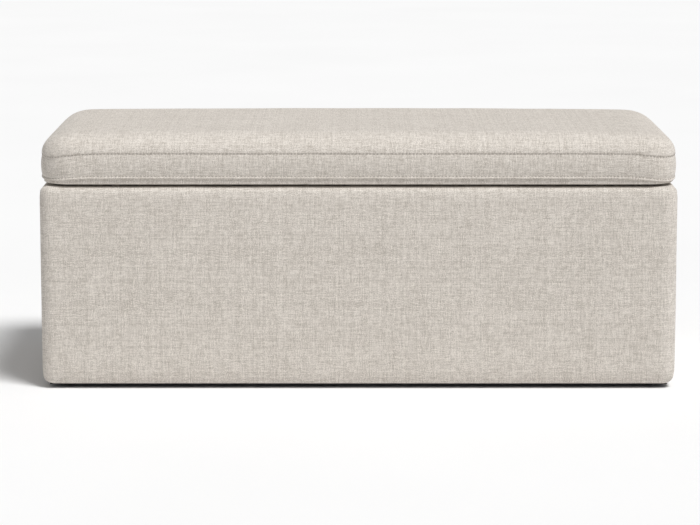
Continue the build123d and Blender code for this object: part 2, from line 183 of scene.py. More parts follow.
def move_points(piece: bpy.types.Object, points: np.ndarray) -> None:
    """Puts a piece's points where the rows of points say."""
    piece.data.vertices.foreach_set("co", points.ravel())
    piece.data.update()


# ---- plans and cloth surfaces ------------------------------------------------------
@dataclass(frozen=True)
class Plan:
    """A rounded rectangle seen from above, as columns that all its rings share.

    The columns start on the left at the back and go round by the front.

    Attributes:
        half_x: half its length.
        front_y: its front.
        back_y: its back.
        front_radius: radius of the two front corners.
        back_radius: radius of the two back corners.
        step: about how far apart columns are on the straight sides.
        corner_shares: where columns cross a corner, from 0 at its start to 1 at its middle.
        least_radius: no ring's corner is sharper than this.
    """

    half_x: float
    front_y: float
    back_y: float
    front_radius: float
    back_radius: float
    step: float
    corner_shares: tuple[float, ...]
    least_radius: float = 1.0 * MM

    @property
    def long_count(self) -> int:
        """Columns' steps along the front or the back."""
        return math.ceil((2 * self.half_x - 2 * self.front_radius) / self.step)

    @property
    def short_count(self) -> int:
        """Columns' steps along an end."""
        reach = self.back_y - self.front_y - self.front_radius - self.back_radius
        return math.ceil(reach / self.step)

    def corner_angles(self) -> np.ndarray:
        """Angles of the columns inside a quarter turn, both ends left out."""
        rising = np.arctan(np.array(self.corner_shares))
        return np.concatenate([rising, (math.pi / 2 - rising[:-1])[::-1]])

    def ring(self, inset: float) -> np.ndarray:
        """The ring of points that lies inset inside the plan.

        Args:
            inset: how far in from the outline.

        Returns:
            One row of x, y, and the outward normal's x, y per column.
        """
        rows: list[tuple[float, float, float, float]] = []
        corners = (
            (-1, -1, self.front_radius, math.pi),
            (1, -1, self.front_radius, 1.5 * math.pi),
            (1, 1, self.back_radius, 0.0),
            (-1, 1, self.back_radius, 0.5 * math.pi),
        )
        arcs = []
        for side_x, side_y, radius, start in corners:
            round_by = max(radius - inset, self.least_radius)
            edge_y = self.front_y + inset if side_y < 0 else self.back_y - inset
            centre = (side_x * (self.half_x - inset - round_by), edge_y - side_y * round_by)
            angles = start + np.concatenate([[0.0], self.corner_angles(), [math.pi / 2]])
            arcs.append([
                (centre[0] + round_by * math.cos(a), centre[1] + round_by * math.sin(a),
                 math.cos(a), math.sin(a))
                for a in angles
            ])
        counts = (self.long_count, self.short_count, self.long_count, self.short_count)
        for index, count in enumerate(counts):
            rows += arcs[index]
            start_point, end_point = arcs[index][-1], arcs[(index + 1) % 4][0]
            for i in range(1, count):
                share = i / count
                rows.append(tuple(
                    start_point[k] + (end_point[k] - start_point[k]) * share for k in range(4)))
        return np.array(rows)

    def lengths(self) -> np.ndarray:
        """Distance round the outline to each column, with the whole length at the end."""
        outline = self.ring(0.0)[:, :2]
        around = np.vstack([outline, outline[:1]])
        steps = np.linalg.norm(np.diff(around, axis=0), axis=1)
        return np.concatenate([[0.0], np.cumsum(steps)])

    def corner_share(self, points: np.ndarray, reach: float) -> np.ndarray:
        """How near each point is to a corner: 1 at one, falling off over reach."""
        x = self.half_x - np.abs(points[:, 0])
        y = np.minimum(points[:, 1] - self.front_y, self.back_y - points[:, 1])
        return np.exp(-((x * x + y * y) / reach**2))


@dataclass
class ClothMesh:
    """A mesh under construction, with its place on the flat cloth for the weave.

    Attributes:
        points: x, y, z of each point.
        faces: point numbers of each face.
        flat: for each face, the flat cloth's u, v at each of its corners, in metres.
    """

    points: np.ndarray
    faces: list[tuple[int, ...]]
    flat: list[list[tuple[float, float]]]

    def build(self, name: str) -> bpy.types.Object:
        """Makes the object.

        Args:
            name: the piece's name.

        Returns:
            The new object, smooth shaded, its weave in a UV map in metres.
        """
        mesh = bpy.data.meshes.new(name)
        mesh.from_pydata([tuple(p) for p in self.points], [], self.faces)
        layer = mesh.uv_layers.new(name=WEAVE_MAP)
        layer.data.foreach_set("uv", np.array([c for f in self.flat for c in f]).ravel())
        mesh.polygons.foreach_set("use_smooth", [True] * len(mesh.polygons))
        mesh.update()
        piece = bpy.data.objects.new(name, mesh)
        bpy.context.scene.collection.objects.link(piece)
        return piece


def sleeve(plan: Plan, profile: list[tuple[float, float]], closed: bool) -> ClothMesh:
    """Carries a profile round a plan.

    Args:
        plan: the outline that it follows.
        profile: inset and height of each row, from the cloth's one edge to the other.
        closed: whether the last row joins the first, as a cloth with a thickness does.

    Returns:
        The mesh, its faces outwards where the profile runs upwards.
    """
    rings = [plan.ring(inset) for inset, _ in profile]
    columns = len(rings[0])
    points = np.array([
        (x, y, height) for ring, (_, height) in zip(rings, profile) for x, y, _, _ in ring])
    around = plan.lengths()
    steps = [math.dist(a, b) for a, b in zip(profile, profile[1:] + profile[:1])]
    along = np.concatenate([[0.0], np.cumsum(steps)])
    faces, flat = [], []
    for row in range(len(profile) if closed else len(profile) - 1):
        above = (row + 1) % len(profile)
        for column in range(columns):
            right = (column + 1) % columns
            faces.append((row * columns + column, row * columns + right,
                          above * columns + right, above * columns + column))
            flat.append([(around[column], along[row]), (around[column + 1], along[row]),
                         (around[column + 1], along[row + 1]), (around[column], along[row + 1])])
    return ClothMesh(points, faces, flat)


def round_path(start: tuple[float, float], corner: tuple[float, float], end: tuple[float, float],
               count: int) -> list[tuple[float, float]]:
    """A quarter turn from start to end that bulges towards corner.

    Args:
        start: first point, as inset and height.
        corner: where straight lines from both ends would meet.
        end: last point.
        count: how many steps it takes.

    Returns:
        count + 1 points, both ends among them.
    """
    found = []
    for i in range(count + 1):
        angle = math.pi / 2 * i / count
        found.append(tuple(
            corner[k] + (start[k] - corner[k]) * (1 - math.sin(angle))
            + (end[k] - corner[k]) * (1 - math.cos(angle)) for k in (0, 1)))
    return found


def straight_path(start: tuple[float, float], end: tuple[float, float],
                  count: int) -> list[tuple[float, float]]:
    """Evenly spaced points strictly between start and end, count steps in all."""
    return [tuple(start[k] + (end[k] - start[k]) * i / count for k in (0, 1))
            for i in range(1, count)]


def slab(name: str, outer: np.ndarray, inner: np.ndarray, low: float, high: float,
         rows: int) -> bpy.types.Object:
    """An upright slab of padding between two lines seen from above.

    Args:
        name: the piece's name.
        outer: x, y of each point on its outer face.
        inner: the points across from them on its inner face.
        low: its underside.
        high: its top.
        rows: how many rows of faces each side has.

    Returns:
        The new piece, its long edges softened.
    """
    ease = float(np.linalg.norm(outer - inner, axis=1).max()) * EASED_SHARE
    ends = ease * np.array(EASED_LEVELS)
    between = np.linspace(low + ease, high - ease, rows + 1)[1:-1]
    heights = np.concatenate([low + ends, between, high - ends[::-1]])
    rows = len(heights) - 1
    share = np.clip(np.minimum(heights - low, high - heights) / ease, 0, 1)
    drawn = (1 - np.sqrt(1 - (1 - share) ** 2)) * ease
    inward = inner - outer
    inward /= np.maximum(np.linalg.norm(inward, axis=1, keepdims=True), TINY)
    depth = np.linalg.norm(inner - outer, axis=1, keepdims=True)
    sheets = [outer + inward * np.minimum(d, depth * DEEPEST_DRAW) for d in drawn]
    sheets += [inner for _ in heights]
    levels = list(heights) + list(heights[::-1])
    points = np.array([(x, y, z) for line, z in zip(sheets, levels) for x, y in line])
    count, around = len(outer), len(sheets)
    faces = []
    for row in range(around):
        above = (row + 1) % around
        for i in range(count - 1):
            faces.append((row * count + i, row * count + i + 1, above * count + i + 1, above * count + i))
    for row in range(rows):
        far = around - 1 - row
        for i in (0, count - 1):
            faces.append((row * count + i, (row + 1) * count + i, (far - 1) * count + i, far * count + i))
    mesh = bpy.data.meshes.new(name)
    mesh.from_pydata(points.tolist(), [], faces)
    piece = bpy.data.objects.new(name, mesh)
    bpy.context.scene.collection.objects.link(piece)
    return piece


def close_up(piece: bpy.types.Object) -> None:
    """Merges a closed piece's doubled points, drops its empty faces and turns the rest outwards."""
    select_only(piece)
    bpy.ops.object.mode_set(mode="EDIT")
    bpy.ops.mesh.select_all(action="SELECT")
    bpy.ops.mesh.remove_doubles(threshold=DOUBLED)
    bpy.ops.mesh.select_all(action="SELECT")
    bpy.ops.mesh.dissolve_degenerate(threshold=DOUBLED)
    bpy.ops.mesh.select_all(action="SELECT")
    bpy.ops.mesh.normals_make_consistent(inside=False)
    bpy.ops.object.mode_set(mode="OBJECT")
    bpy.ops.object.shade_smooth_by_angle(angle=SMOOTH_ANGLE)


def puff(piece: bpy.types.Object, held: np.ndarray, pressure: float, most: float,
         frames: int = 20) -> None:
    """Blows a cloth up against its held points with a short cloth simulation.

    Args:
        piece: the mesh, with no modifiers.
        held: numbers of the points that stay.
        pressure: outward pressure; 0 lets it sag under its weight instead.
        most: the furthest that a point may move, in metres.
        frames: how long it runs.
    """
    before = positions(piece)
    group = piece.vertex_groups.new(name="held")
    group.add([int(i) for i in held], 1.0, "REPLACE")
    modifier = piece.modifiers.new("Cloth", "CLOTH")
    settings = modifier.settings
    settings.quality = CLOTH_QUALITY
    settings.mass = CLOTH_MASS
    settings.tension_stiffness = settings.compression_stiffness = CLOTH_STRETCH
    settings.shear_stiffness = CLOTH_SHEAR
    settings.bending_stiffness = CLOTH_BEND
    settings.vertex_group_mass = group.name
    if pressure > 0:
        settings.use_pressure = True
        settings.uniform_pressure_force = pressure
        settings.effector_weights.gravity = 0.0
    modifier.point_cache.frame_end = frames
    scene = bpy.context.scene
    for frame in range(1, frames + 1):
        scene.frame_set(frame)
    select_only(piece)
    bpy.ops.object.modifier_apply(modifier=modifier.name)
    scene.frame_set(1)
    moved = positions(piece) - before
    size = np.linalg.norm(moved, axis=1, keepdims=True)
    LOG.info("%s moved %.1f mm at most", piece.name, size.max() / MM)
    limited = most * np.tanh(size / most)
    move_points(piece, before + moved * limited / np.maximum(size, TINY))
    piece.vertex_groups.clear()


# ---- finishes -------------------------------------------------------------------------
class Graph:
    """A material's node tree, with short ways to add and join nodes."""

    def __init__(self, name: str) -> None:
        """Starts a material that holds only its shader and output.

        Args:
            name: the material's name.
        """
        self.material = bpy.data.materials.new(name)
        self.material.use_nodes = True
        self.tree = self.material.node_tree
        self.shader = next(n for n in self.tree.nodes if n.type == "BSDF_PRINCIPLED")

    def add(self, kind: str, **settings: object) -> bpy.types.Node:
        """Adds a node and sets its properties."""
        node = self.tree.nodes.new(kind)
        for name, value in settings.items():
            setattr(node, name, value)
        return node

    def feed(self, socket: bpy.types.NodeSocket, value: object) -> None:
        """Gives a socket a value, or joins it to another node's output."""
        if isinstance(value, bpy.types.NodeSocket):
            self.tree.links.new(value, socket)
        else:
            socket.default_value = value

    def math(self, operation: str, first: object, second: object = 0.0,
             third: object = 0.0) -> bpy.types.NodeSocket:
        """A sum, product or other function of up to three numbers."""
        node = self.add("ShaderNodeMath", operation=operation)
        for socket, value in zip(node.inputs, (first, second, third)):
            self.feed(socket, value)
        return node.outputs[0]

    def mix(self, share: object, low: object, high: object,
            blend: str = "MIX") -> bpy.types.NodeSocket:
        """Mixes two colours."""
        node = self.add("ShaderNodeMix", data_type="RGBA", blend_type=blend)
        self.feed(node.inputs["Factor"], share)
        self.feed(node.inputs["A"], low)
        self.feed(node.inputs["B"], high)
        return next(o for o in node.outputs if o.type == "RGBA" and o.enabled)

    def spread(self, value: object, low: float, high: float, to_low: float = 0.0,
               to_high: float = 1.0) -> bpy.types.NodeSocket:
        """Maps low to high onto to_low to to_high, and holds it there."""
        node = self.add("ShaderNodeMapRange")
        for socket, number in zip(node.inputs, (value, low, high, to_low, to_high)):
            self.feed(socket, number)
        return node.outputs[0]

    def cloth_place(self) -> bpy.types.NodeSocket:
        """Where a point lies on the flat cloth, in metres."""
        return self.add("ShaderNodeUVMap", uv_map=WEAVE_MAP).outputs["UV"]

    def object_place(self) -> bpy.types.NodeSocket:
        """Where a point lies in the frame, in metres."""
        return self.add("ShaderNodeTexCoord").outputs["Object"]

    def stretched(self, place: bpy.types.NodeSocket, scale: tuple[float, float, float],
                  shift: float = 0.0) -> bpy.types.NodeSocket:
        """Places multiplied by scale along each axis, and moved."""
        node = self.add("ShaderNodeMapping")
        self.feed(node.inputs["Vector"], place)
        node.inputs["Scale"].default_value = scale
        node.inputs["Location"].default_value = (shift, shift * 0.6, -shift)
        return node.outputs[0]

    def noise(self, place: bpy.types.NodeSocket, scale: float = 1.0, detail: float = 2.0,
              roughness: float = 0.5) -> bpy.types.NodeSocket:
        """A noise texture's value from 0 to 1."""
        node = self.add("ShaderNodeTexNoise")
        self.feed(node.inputs["Vector"], place)
        node.inputs["Scale"].default_value = scale
        node.inputs["Detail"].default_value = detail
        node.inputs["Roughness"].default_value = roughness
        return node.outputs[0]

    def bump(self, height: object, distance: float, strength: float = 1.0) -> None:
        """Joins a height, as a share of distance in metres, to the shader's normal."""
        node = self.add("ShaderNodeBump")
        node.inputs["Strength"].default_value = strength
        node.inputs["Distance"].default_value = distance
        self.feed(node.inputs["Height"], height)
        self.feed(self.shader.inputs["Normal"], node.outputs["Normal"])

    def finish(self, **values: object) -> bpy.types.Material:
        """Sets the shader's sockets, such as Roughness=0.5, and returns the material."""
        for name, value in values.items():
            self.feed(self.shader.inputs[name.replace("_", " ")], value)
        return self.material


Colour = tuple[float, float, float, float]
Wave = tuple[float, float, float]


def tint(red: float, green: float, blue: float) -> Colour:
    """An opaque colour."""
    return red, green, blue, 1.0


@dataclass(frozen=True)
class LinenFinish:
    """A plain weave of uneven linen-look yarns, with thick places in both directions.

    Attributes:
        name: the material's name.
        dark: colour of the shaded and darker yarns.
        light: colour of the lighter yarns.
        yarn: distance between yarns.
        slub_length: length of a thick place in a yarn.
        contrast: how strongly the yarns differ.
        fleck: how strongly single crossings differ.
        depth: height of the weave's relief.
        seed: moves the pattern.
        seed_step: how far the second set of yarns' pattern lies from the first's.
        slub_span: noise where a yarn is at its thinnest and its thickest.
        likeness: how alike neighbouring yarns are, lower for more.
        own_tone: how much a whole yarn's tone differs.
        slub_tone: how much the thick places' tone differs.
        wander_scale: how often yarns stray, per metre.
        wander: how far they stray.
        crossover: how far round a crossing a yarn takes to dip.
        dip: a yarn's height where it passes under another.
        edge: how soft the change of yarn is.
        upper_share: share of the colour that the upper yarn gives.
        fleck_yarns: size of a fleck, in yarns.
        cloud_scale: how often the whole cloth's tone drifts, per metre.
        cloud_tone: how much it drifts.
        relief_shade: painted shade, how much darker the gaps between yarns are; the yarns' tops get painted
            light in the same way.
        relief_middle: the relief's middle height.
        slub_rise: how far thick places stand up.
        bump_share: strength of the relief.
    """

    name: str
    dark: Colour
    light: Colour
    yarn: float = 1.25 * MM
    slub_length: float = 15 * MM
    contrast: float = 0.8
    fleck: float = 1.5
    depth: float = 0.5 * MM
    seed: float = 0.0
    seed_step: float = 7.0
    slub_span: tuple[float, float] = (0.35, 0.65)
    likeness: float = 0.45
    own_tone: float = 0.35
    slub_tone: float = 0.9
    wander_scale: float = 60.0
    wander: float = 1.2 * MM
    crossover: float = 0.25
    dip: float = 0.45
    edge: float = 0.15
    upper_share: float = 0.45
    fleck_yarns: float = 1.3
    cloud_scale: float = 14.0
    cloud_tone: float = 0.20
    relief_shade: float = 0.30
    relief_middle: float = 0.6
    slub_rise: float = 0.45
    bump_share: float = 0.6

    def yarn_tone(self, g: Graph, across: bpy.types.NodeSocket, along: bpy.types.NodeSocket,
                  seed: float) -> tuple[bpy.types.NodeSocket, bpy.types.NodeSocket]:
        """Each yarn's own tone, changing along it where it is spun thick or thin.

        Args:
            g: the material's node tree.
            across: place across the yarns.
            along: place along them.
            seed: moves the pattern.

        Returns:
            The tone, around 0.5, and how thick the yarn is there, from 0 to 1.
        """
        number = g.math("FLOOR", g.math("DIVIDE", across, self.yarn))
        chance = g.add("ShaderNodeTexWhiteNoise", noise_dimensions="1D")
        g.feed(chance.inputs["W"], g.math("ADD", number, seed * CHANCE_STEP))
        start = g.math("MULTIPLY", chance.outputs["Value"], CHANCE_SPREAD)
        run = g.add("ShaderNodeCombineXYZ")
        g.feed(run.inputs[0], g.math("MULTIPLY_ADD", along, 1 / self.slub_length, start))
        g.feed(run.inputs[1], g.math("MULTIPLY", number, self.likeness))
        slub = g.noise(run.outputs[0], roughness=0.6)
        thick = g.spread(slub, *self.slub_span)
        own = g.math("MULTIPLY", g.math("SUBTRACT", chance.outputs["Value"], 0.5), self.own_tone)
        thin_tone = (1 - self.slub_tone) / 2
        return g.math("ADD", own, g.math("MULTIPLY_ADD", thick, self.slub_tone, thin_tone)), thick

    def material(self) -> bpy.types.Material:
        """Builds the weave from the piece's flat cloth map."""
        g = Graph(self.name)
        place = g.cloth_place()
        stray = g.add("ShaderNodeVectorMath", operation="MULTIPLY_ADD")
        drift = g.add("ShaderNodeTexNoise")
        g.feed(drift.inputs["Vector"], place)
        drift.inputs["Scale"].default_value = self.wander_scale
        g.feed(stray.inputs[0], drift.outputs["Color"])
        stray.inputs[1].default_value = (self.wander, self.wander, 0.0)
        g.feed(stray.inputs[2], place)
        split = g.add("ShaderNodeSeparateXYZ")
        g.feed(split.inputs[0], stray.outputs[0])
        turn = math.pi / self.yarn
        across = g.math("SINE", g.math("MULTIPLY", split.outputs[0], turn))
        along = g.math("SINE", g.math("MULTIPLY", split.outputs[1], turn))
        crossing = g.math("MULTIPLY", across, along)
        over = g.spread(crossing, -self.crossover, self.crossover, self.dip, 1.0)
        under = g.spread(crossing, -self.crossover, self.crossover, 1.0, self.dip)
        warp = g.math("MULTIPLY", g.math("ABSOLUTE", across), over)
        weft = g.math("MULTIPLY", g.math("ABSOLUTE", along), under)
        relief = g.math("MAXIMUM", warp, weft)
        warp_tone, warp_slub = self.yarn_tone(g, split.outputs[0], split.outputs[1], self.seed)
        weft_tone, weft_slub = self.yarn_tone(g, split.outputs[1], split.outputs[0],
                                              self.seed + self.seed_step)
        on_top = g.spread(crossing, -self.edge, self.edge)
        lead = g.math("MULTIPLY", on_top, g.math("SUBTRACT", warp_tone, weft_tone))
        yarns = g.math("ADD", weft_tone, lead)
        both = g.math("MULTIPLY", g.math("ADD", warp_tone, weft_tone), 0.5)
        fleck_scale = 1 / (self.fleck_yarns * self.yarn)
        flecks = g.noise(g.stretched(place, (fleck_scale,) * 3, self.seed + 4), detail=1.0)
        wide = (self.cloud_scale, self.cloud_scale, 1.0)
        cloud = g.noise(g.stretched(place, wide, self.seed + 2), detail=3.0)
        tone = g.math("ADD", g.math("MULTIPLY", yarns, self.upper_share),
                      g.math("MULTIPLY", both, 1 - self.upper_share))
        tone = g.math("MULTIPLY_ADD", g.math("SUBTRACT", tone, 0.5), self.contrast, 0.5)
        tone = g.math("MULTIPLY_ADD", g.math("SUBTRACT", flecks, 0.5), self.fleck, tone)
        tone = g.math("MULTIPLY_ADD", g.math("SUBTRACT", cloud, 0.5), self.cloud_tone, tone)
        # Painted shade from the relief: the gaps between yarns come out darker and the yarns' tops lighter.
        gap_shade = g.math("SUBTRACT", relief, self.relief_middle)
        tone = g.math("MULTIPLY_ADD", gap_shade, self.relief_shade, tone)
        colour = g.mix(g.spread(tone, 0.0, 1.0), self.dark, self.light)
        height = g.math("MULTIPLY_ADD", g.math("ADD", warp_slub, weft_slub), self.slub_rise, relief)
        g.bump(height, self.depth, self.bump_share)
        return g.finish(Base_Color=colour, Roughness=0.88, Sheen_Weight=0.18,
                        Sheen_Roughness=0.45, Specular_IOR_Level=0.2)


@dataclass(frozen=True)
class PlainClothFinish:
    """A fine, even cloth, such as a lining or a bonded dust cloth.

    Attributes:
        name: the material's name.
        dark: colour between the threads, a painted shade there.
        light: colour of the threads.
        thread: distance between threads, or between the dots that bond the cloth.
        depth: height of its relief.
        bonded: whether it is pressed fibre with bonding dots instead of threads.
        fibre_scale: how fine its fibres are, per metre.
        dot_span: the pattern's value at a dot's edge and at its middle.
        dot_depth: how deep a dot is pressed.
        fibre_weight: the fibres' part in a woven relief.
        cloud_scale: how often its tone drifts, per metre.
        streak_scale: its streaks' spacing along each axis, per metre.
        cloud_tone: how much of its colour the drift gives.
        relief_shade: how much of it the relief gives, as painted shade between the threads, and in the
            pressed dots of a bonded cloth.
        streak_tone: how much of it the streaks give.
    """

    name: str
    dark: Colour
    light: Colour
    thread: float = 0.7 * MM
    depth: float = 0.2 * MM
    bonded: bool = False
    fibre_scale: float = 900.0
    dot_span: tuple[float, float] = (0.7, 0.95)
    dot_depth: float = 0.6
    fibre_weight: float = 0.5
    cloud_scale: float = 25.0
    streak_scale: tuple[float, float, float] = (500.0, 12.0, 1.0)
    cloud_tone: float = 0.5
    relief_shade: float = 0.4
    streak_tone: float = 0.35

    def material(self) -> bpy.types.Material:
        """Builds the cloth from the piece's flat cloth map."""
        g = Graph(self.name)
        place = g.cloth_place()
        split = g.add("ShaderNodeSeparateXYZ")
        g.feed(split.inputs[0], place)
        turn = math.pi / self.thread
        across = g.math("SINE", g.math("MULTIPLY", split.outputs[0], turn))
        along = g.math("SINE", g.math("MULTIPLY", split.outputs[1], turn))
        fine = (self.fibre_scale, self.fibre_scale, 1.0)
        fibres = g.noise(g.stretched(place, fine), detail=3.0, roughness=0.7)
        if self.bonded:
            dots = g.math("MULTIPLY", g.math("ABSOLUTE", across), g.math("ABSOLUTE", along))
            relief = g.math("SUBTRACT", fibres, g.spread(dots, *self.dot_span, 0.0, self.dot_depth))
        else:
            relief = g.math("MAXIMUM", g.math("ABSOLUTE", across), g.math("ABSOLUTE", along))
            relief = g.math("MULTIPLY_ADD", fibres, self.fibre_weight, relief)
        wide = (self.cloud_scale, self.cloud_scale, 1.0)
        cloud = g.noise(g.stretched(place, wide, 3.0), detail=3.0)
        streak = g.noise(g.stretched(place, self.streak_scale, 5.0), detail=1.0)
        # Painted shade: low relief between the threads, and a bonded cloth's pressed dots, come out darker.
        share = g.math("MULTIPLY_ADD", cloud, self.cloud_tone,
                       g.math("MULTIPLY", relief, self.relief_shade))
        share = g.math("MULTIPLY_ADD", streak, self.streak_tone, share)
        g.bump(relief, self.depth, 0.5)
        return g.finish(Base_Color=g.mix(share, self.dark, self.light), Roughness=0.9,
                        Sheen_Weight=0.12, Specular_IOR_Level=0.2)


@dataclass(frozen=True)
class PaddingFinish:
    """Open-cell foam, or the fluffy wadding laid over it.

    Attributes:
        name: the material's name.
        dark: colour of the painted shade in the foam's pits and between the wadding's fibres.
        light: colour of the cell walls or fibres.
        cell: size of a cell, or thickness of a tuft.
        fibrous: whether it is wadding.
        curl_scale: how often its tufts curl, per metre.
        curl_weight: the curls' part in its relief.
        tuft_stretch: how much longer a tuft is than it is thick, as a share.
        wall_span: distance from a cell's wall at which its pit is whole.
        cloud_scale: how often its tone drifts, per metre.
        cloud_tone: how much of its colour the drift gives.
        relief_shade: how much of it the relief gives, as painted shade in the pits and between the fibres.
        rise: the relief's height, in cells.
        bump_share: strength of the relief.
    """

    name: str
    dark: Colour
    light: Colour
    cell: float
    fibrous: bool = False
    curl_scale: float = 60.0
    curl_weight: float = 0.6
    tuft_stretch: float = 0.3
    wall_span: float = 0.25
    cloud_scale: float = 18.0
    cloud_tone: float = 0.4
    relief_shade: float = 0.7
    rise: float = 0.6
    bump_share: float = 0.7

    def material(self) -> bpy.types.Material:
        """Builds the padding's look in the frame's own space."""
        g = Graph(self.name)
        place = g.object_place()
        if self.fibrous:
            curl = g.noise(place, self.curl_scale)
            tufts = (1 / self.cell, self.tuft_stretch / self.cell, 1 / self.cell)
            fine = g.noise(g.stretched(place, tufts), detail=5.0, roughness=0.75)
            relief = g.math("MULTIPLY_ADD", curl, self.curl_weight, fine)
        else:
            cells = g.add("ShaderNodeTexVoronoi", feature="DISTANCE_TO_EDGE")
            g.feed(cells.inputs["Vector"], place)
            cells.inputs["Scale"].default_value = 1 / self.cell
            relief = g.spread(cells.outputs["Distance"], 0.0, self.wall_span, 1.0, 0.0)
        cloud = g.noise(place, self.cloud_scale, 3.0)
        # Painted shade: the foam's pits and the gaps between the wadding's fibres come out darker.
        share = g.math("MULTIPLY_ADD", cloud, self.cloud_tone,
                       g.math("MULTIPLY", relief, self.relief_shade))
        g.bump(relief, self.cell * self.rise, self.bump_share)
        return g.finish(Base_Color=g.mix(share, self.dark, self.light), Roughness=0.95,
                        Specular_IOR_Level=0.15)


class Grain(Enum):
    """Which way a board's or a batten's grain runs."""

    ALONG_X = (1.0, 18.0, 18.0)
    ALONG_Y = (18.0, 1.0, 18.0)
    PRESSED = (1.0, 1.0, 1.0)


@dataclass(frozen=True)
class WoodFinish:
    """Sawn softwood, or pressed chipboard where its grain is PRESSED.

    Attributes:
        name: the material's name.
        dark: colour of late wood, or of dark chips.
        light: colour of early wood, or of pale chips.
        grain: which way it runs.
        chip_scale: the chips' spacing along each axis, per metre.
        chip_tone: how much of the colour the chips give.
        dust_scale: how fine the dust between chips is, per metre.
        dust_tone: how much of the colour the dust gives.
        chip_rise: how far chips stand out from the dust.
        ring_scale: how close the growth rings are.
        ring_wave: how much the rings waver.
        ring_tone: how much of the colour the rings give.
        warp_tone: how much of it the slow drift gives.
        fibre_stretch: how much finer the fibres are than the rings.
        fibre_tone: how much of the colour the fibres give.
        fibre_rise: how far the fibres stand up.
        depth: height of the relief.
    """

    name: str
    dark: Colour
    light: Colour
    grain: Grain
    chip_scale: tuple[float, float, float] = (180.0, 420.0, 420.0)
    chip_tone: float = 0.65
    dust_scale: float = 900.0
    dust_tone: float = 0.4
    chip_rise: float = 0.6
    ring_scale: float = 2.6
    ring_wave: float = 5.0
    ring_tone: float = 0.55
    warp_tone: float = 0.3
    fibre_stretch: float = 8.0
    fibre_tone: float = 0.25
    fibre_rise: float = 0.7
    depth: float = 0.25 * MM

    def material(self) -> bpy.types.Material:
        """Builds the wood in the frame's own space."""
        g = Graph(self.name)
        place = g.object_place()
        if self.grain is Grain.PRESSED:
            chips = g.add("ShaderNodeTexVoronoi", feature="F1")
            g.feed(chips.inputs["Vector"], g.stretched(place, self.chip_scale))
            chips.inputs["Scale"].default_value = 1.0
            tone = g.add("ShaderNodeSeparateColor")
            g.feed(tone.inputs[0], chips.outputs["Color"])
            dust = g.noise(place, self.dust_scale, 3.0)
            share = g.math("MULTIPLY_ADD", tone.outputs[0], self.chip_tone,
                           g.math("MULTIPLY", dust, self.dust_tone))
            relief = g.math("MULTIPLY_ADD", chips.outputs["Distance"], -self.chip_rise, dust)
            rough = g.spread(dust, 0.2, 0.8, 0.7, 0.9)
        else:
            run = g.stretched(place, self.grain.value)
            warp = g.noise(run, 2.0, 3.0, 0.55)
            rings = g.add("ShaderNodeTexWave", wave_type="RINGS", rings_direction="SPHERICAL")
            g.feed(rings.inputs["Vector"], run)
            rings.inputs["Scale"].default_value = self.ring_scale
            rings.inputs["Distortion"].default_value = self.ring_wave
            rings.inputs["Detail"].default_value = 2.5
            fibre = g.noise(g.stretched(run, (self.fibre_stretch,) * 3), 6.0, 4.0, 0.7)
            share = g.math("MULTIPLY_ADD", rings.outputs["Fac"], self.ring_tone,
                           g.math("MULTIPLY", warp, self.warp_tone))
            share = g.math("MULTIPLY_ADD", fibre, self.fibre_tone, share)
            relief = g.math("MULTIPLY_ADD", fibre, self.fibre_rise, rings.outputs["Fac"])
            rough = g.spread(fibre, 0.2, 0.8, 0.55, 0.8)
        g.bump(relief, self.depth, 0.5)
        return g.finish(Base_Color=g.mix(share, self.dark, self.light), Roughness=rough,
                        Specular_IOR_Level=0.3)


@dataclass(frozen=True)
class MetalFinish:
    """Plated or polished steel with fine scratches and duller patches.

    Attributes:
        name: the material's name.
        plating: its colour.
        rough_low: roughness where it is bright.
        rough_high: roughness where it is dull.
        brushed: scratches run along X where this is true, and any way where it isn't.
        brushed_scale: scratches' spacing along each axis when brushed, per metre.
        fine_scale: their spacing when they run any way.
        patch_scale: how often duller patches come, per metre.
        scratch_weight: the scratches' part in the wear; the patches have the rest.
        wear_span: wear where the plating is dull and where it is bright.
        dull_share: the dull places' share of its colour.
        scratch_depth: how deep the scratches are.
        bump_share: strength of the scratches.
    """

    name: str
    plating: Colour
    rough_low: float
    rough_high: float
    brushed: bool = True
    brushed_scale: tuple[float, float, float] = (60.0, 2600.0, 2600.0)
    fine_scale: float = 1400.0
    patch_scale: float = 140.0
    scratch_weight: float = 0.45
    wear_span: tuple[float, float] = (0.35, 0.65)
    dull_share: float = 0.72
    scratch_depth: float = 0.03 * MM
    bump_share: float = 0.35

    def material(self) -> bpy.types.Material:
        """Builds the metal in the frame's own space."""
        g = Graph(self.name)
        place = g.object_place()
        reach = self.brushed_scale if self.brushed else (self.fine_scale,) * 3
        scratches = g.noise(g.stretched(place, reach), detail=3.0, roughness=0.6)
        patches = g.noise(place, self.patch_scale, 3.0, 0.6)
        wear = g.math("MULTIPLY_ADD", scratches, self.scratch_weight,
                      g.math("MULTIPLY", patches, 1 - self.scratch_weight))
        darker = tint(*(c * self.dull_share for c in self.plating[:3]))
        colour = g.mix(g.spread(wear, *self.wear_span), darker, self.plating)
        g.bump(scratches, self.scratch_depth, self.bump_share)
        rough = g.spread(wear, *self.wear_span, self.rough_high, self.rough_low)
        return g.finish(Base_Color=colour, Metallic=1.0, Roughness=rough)


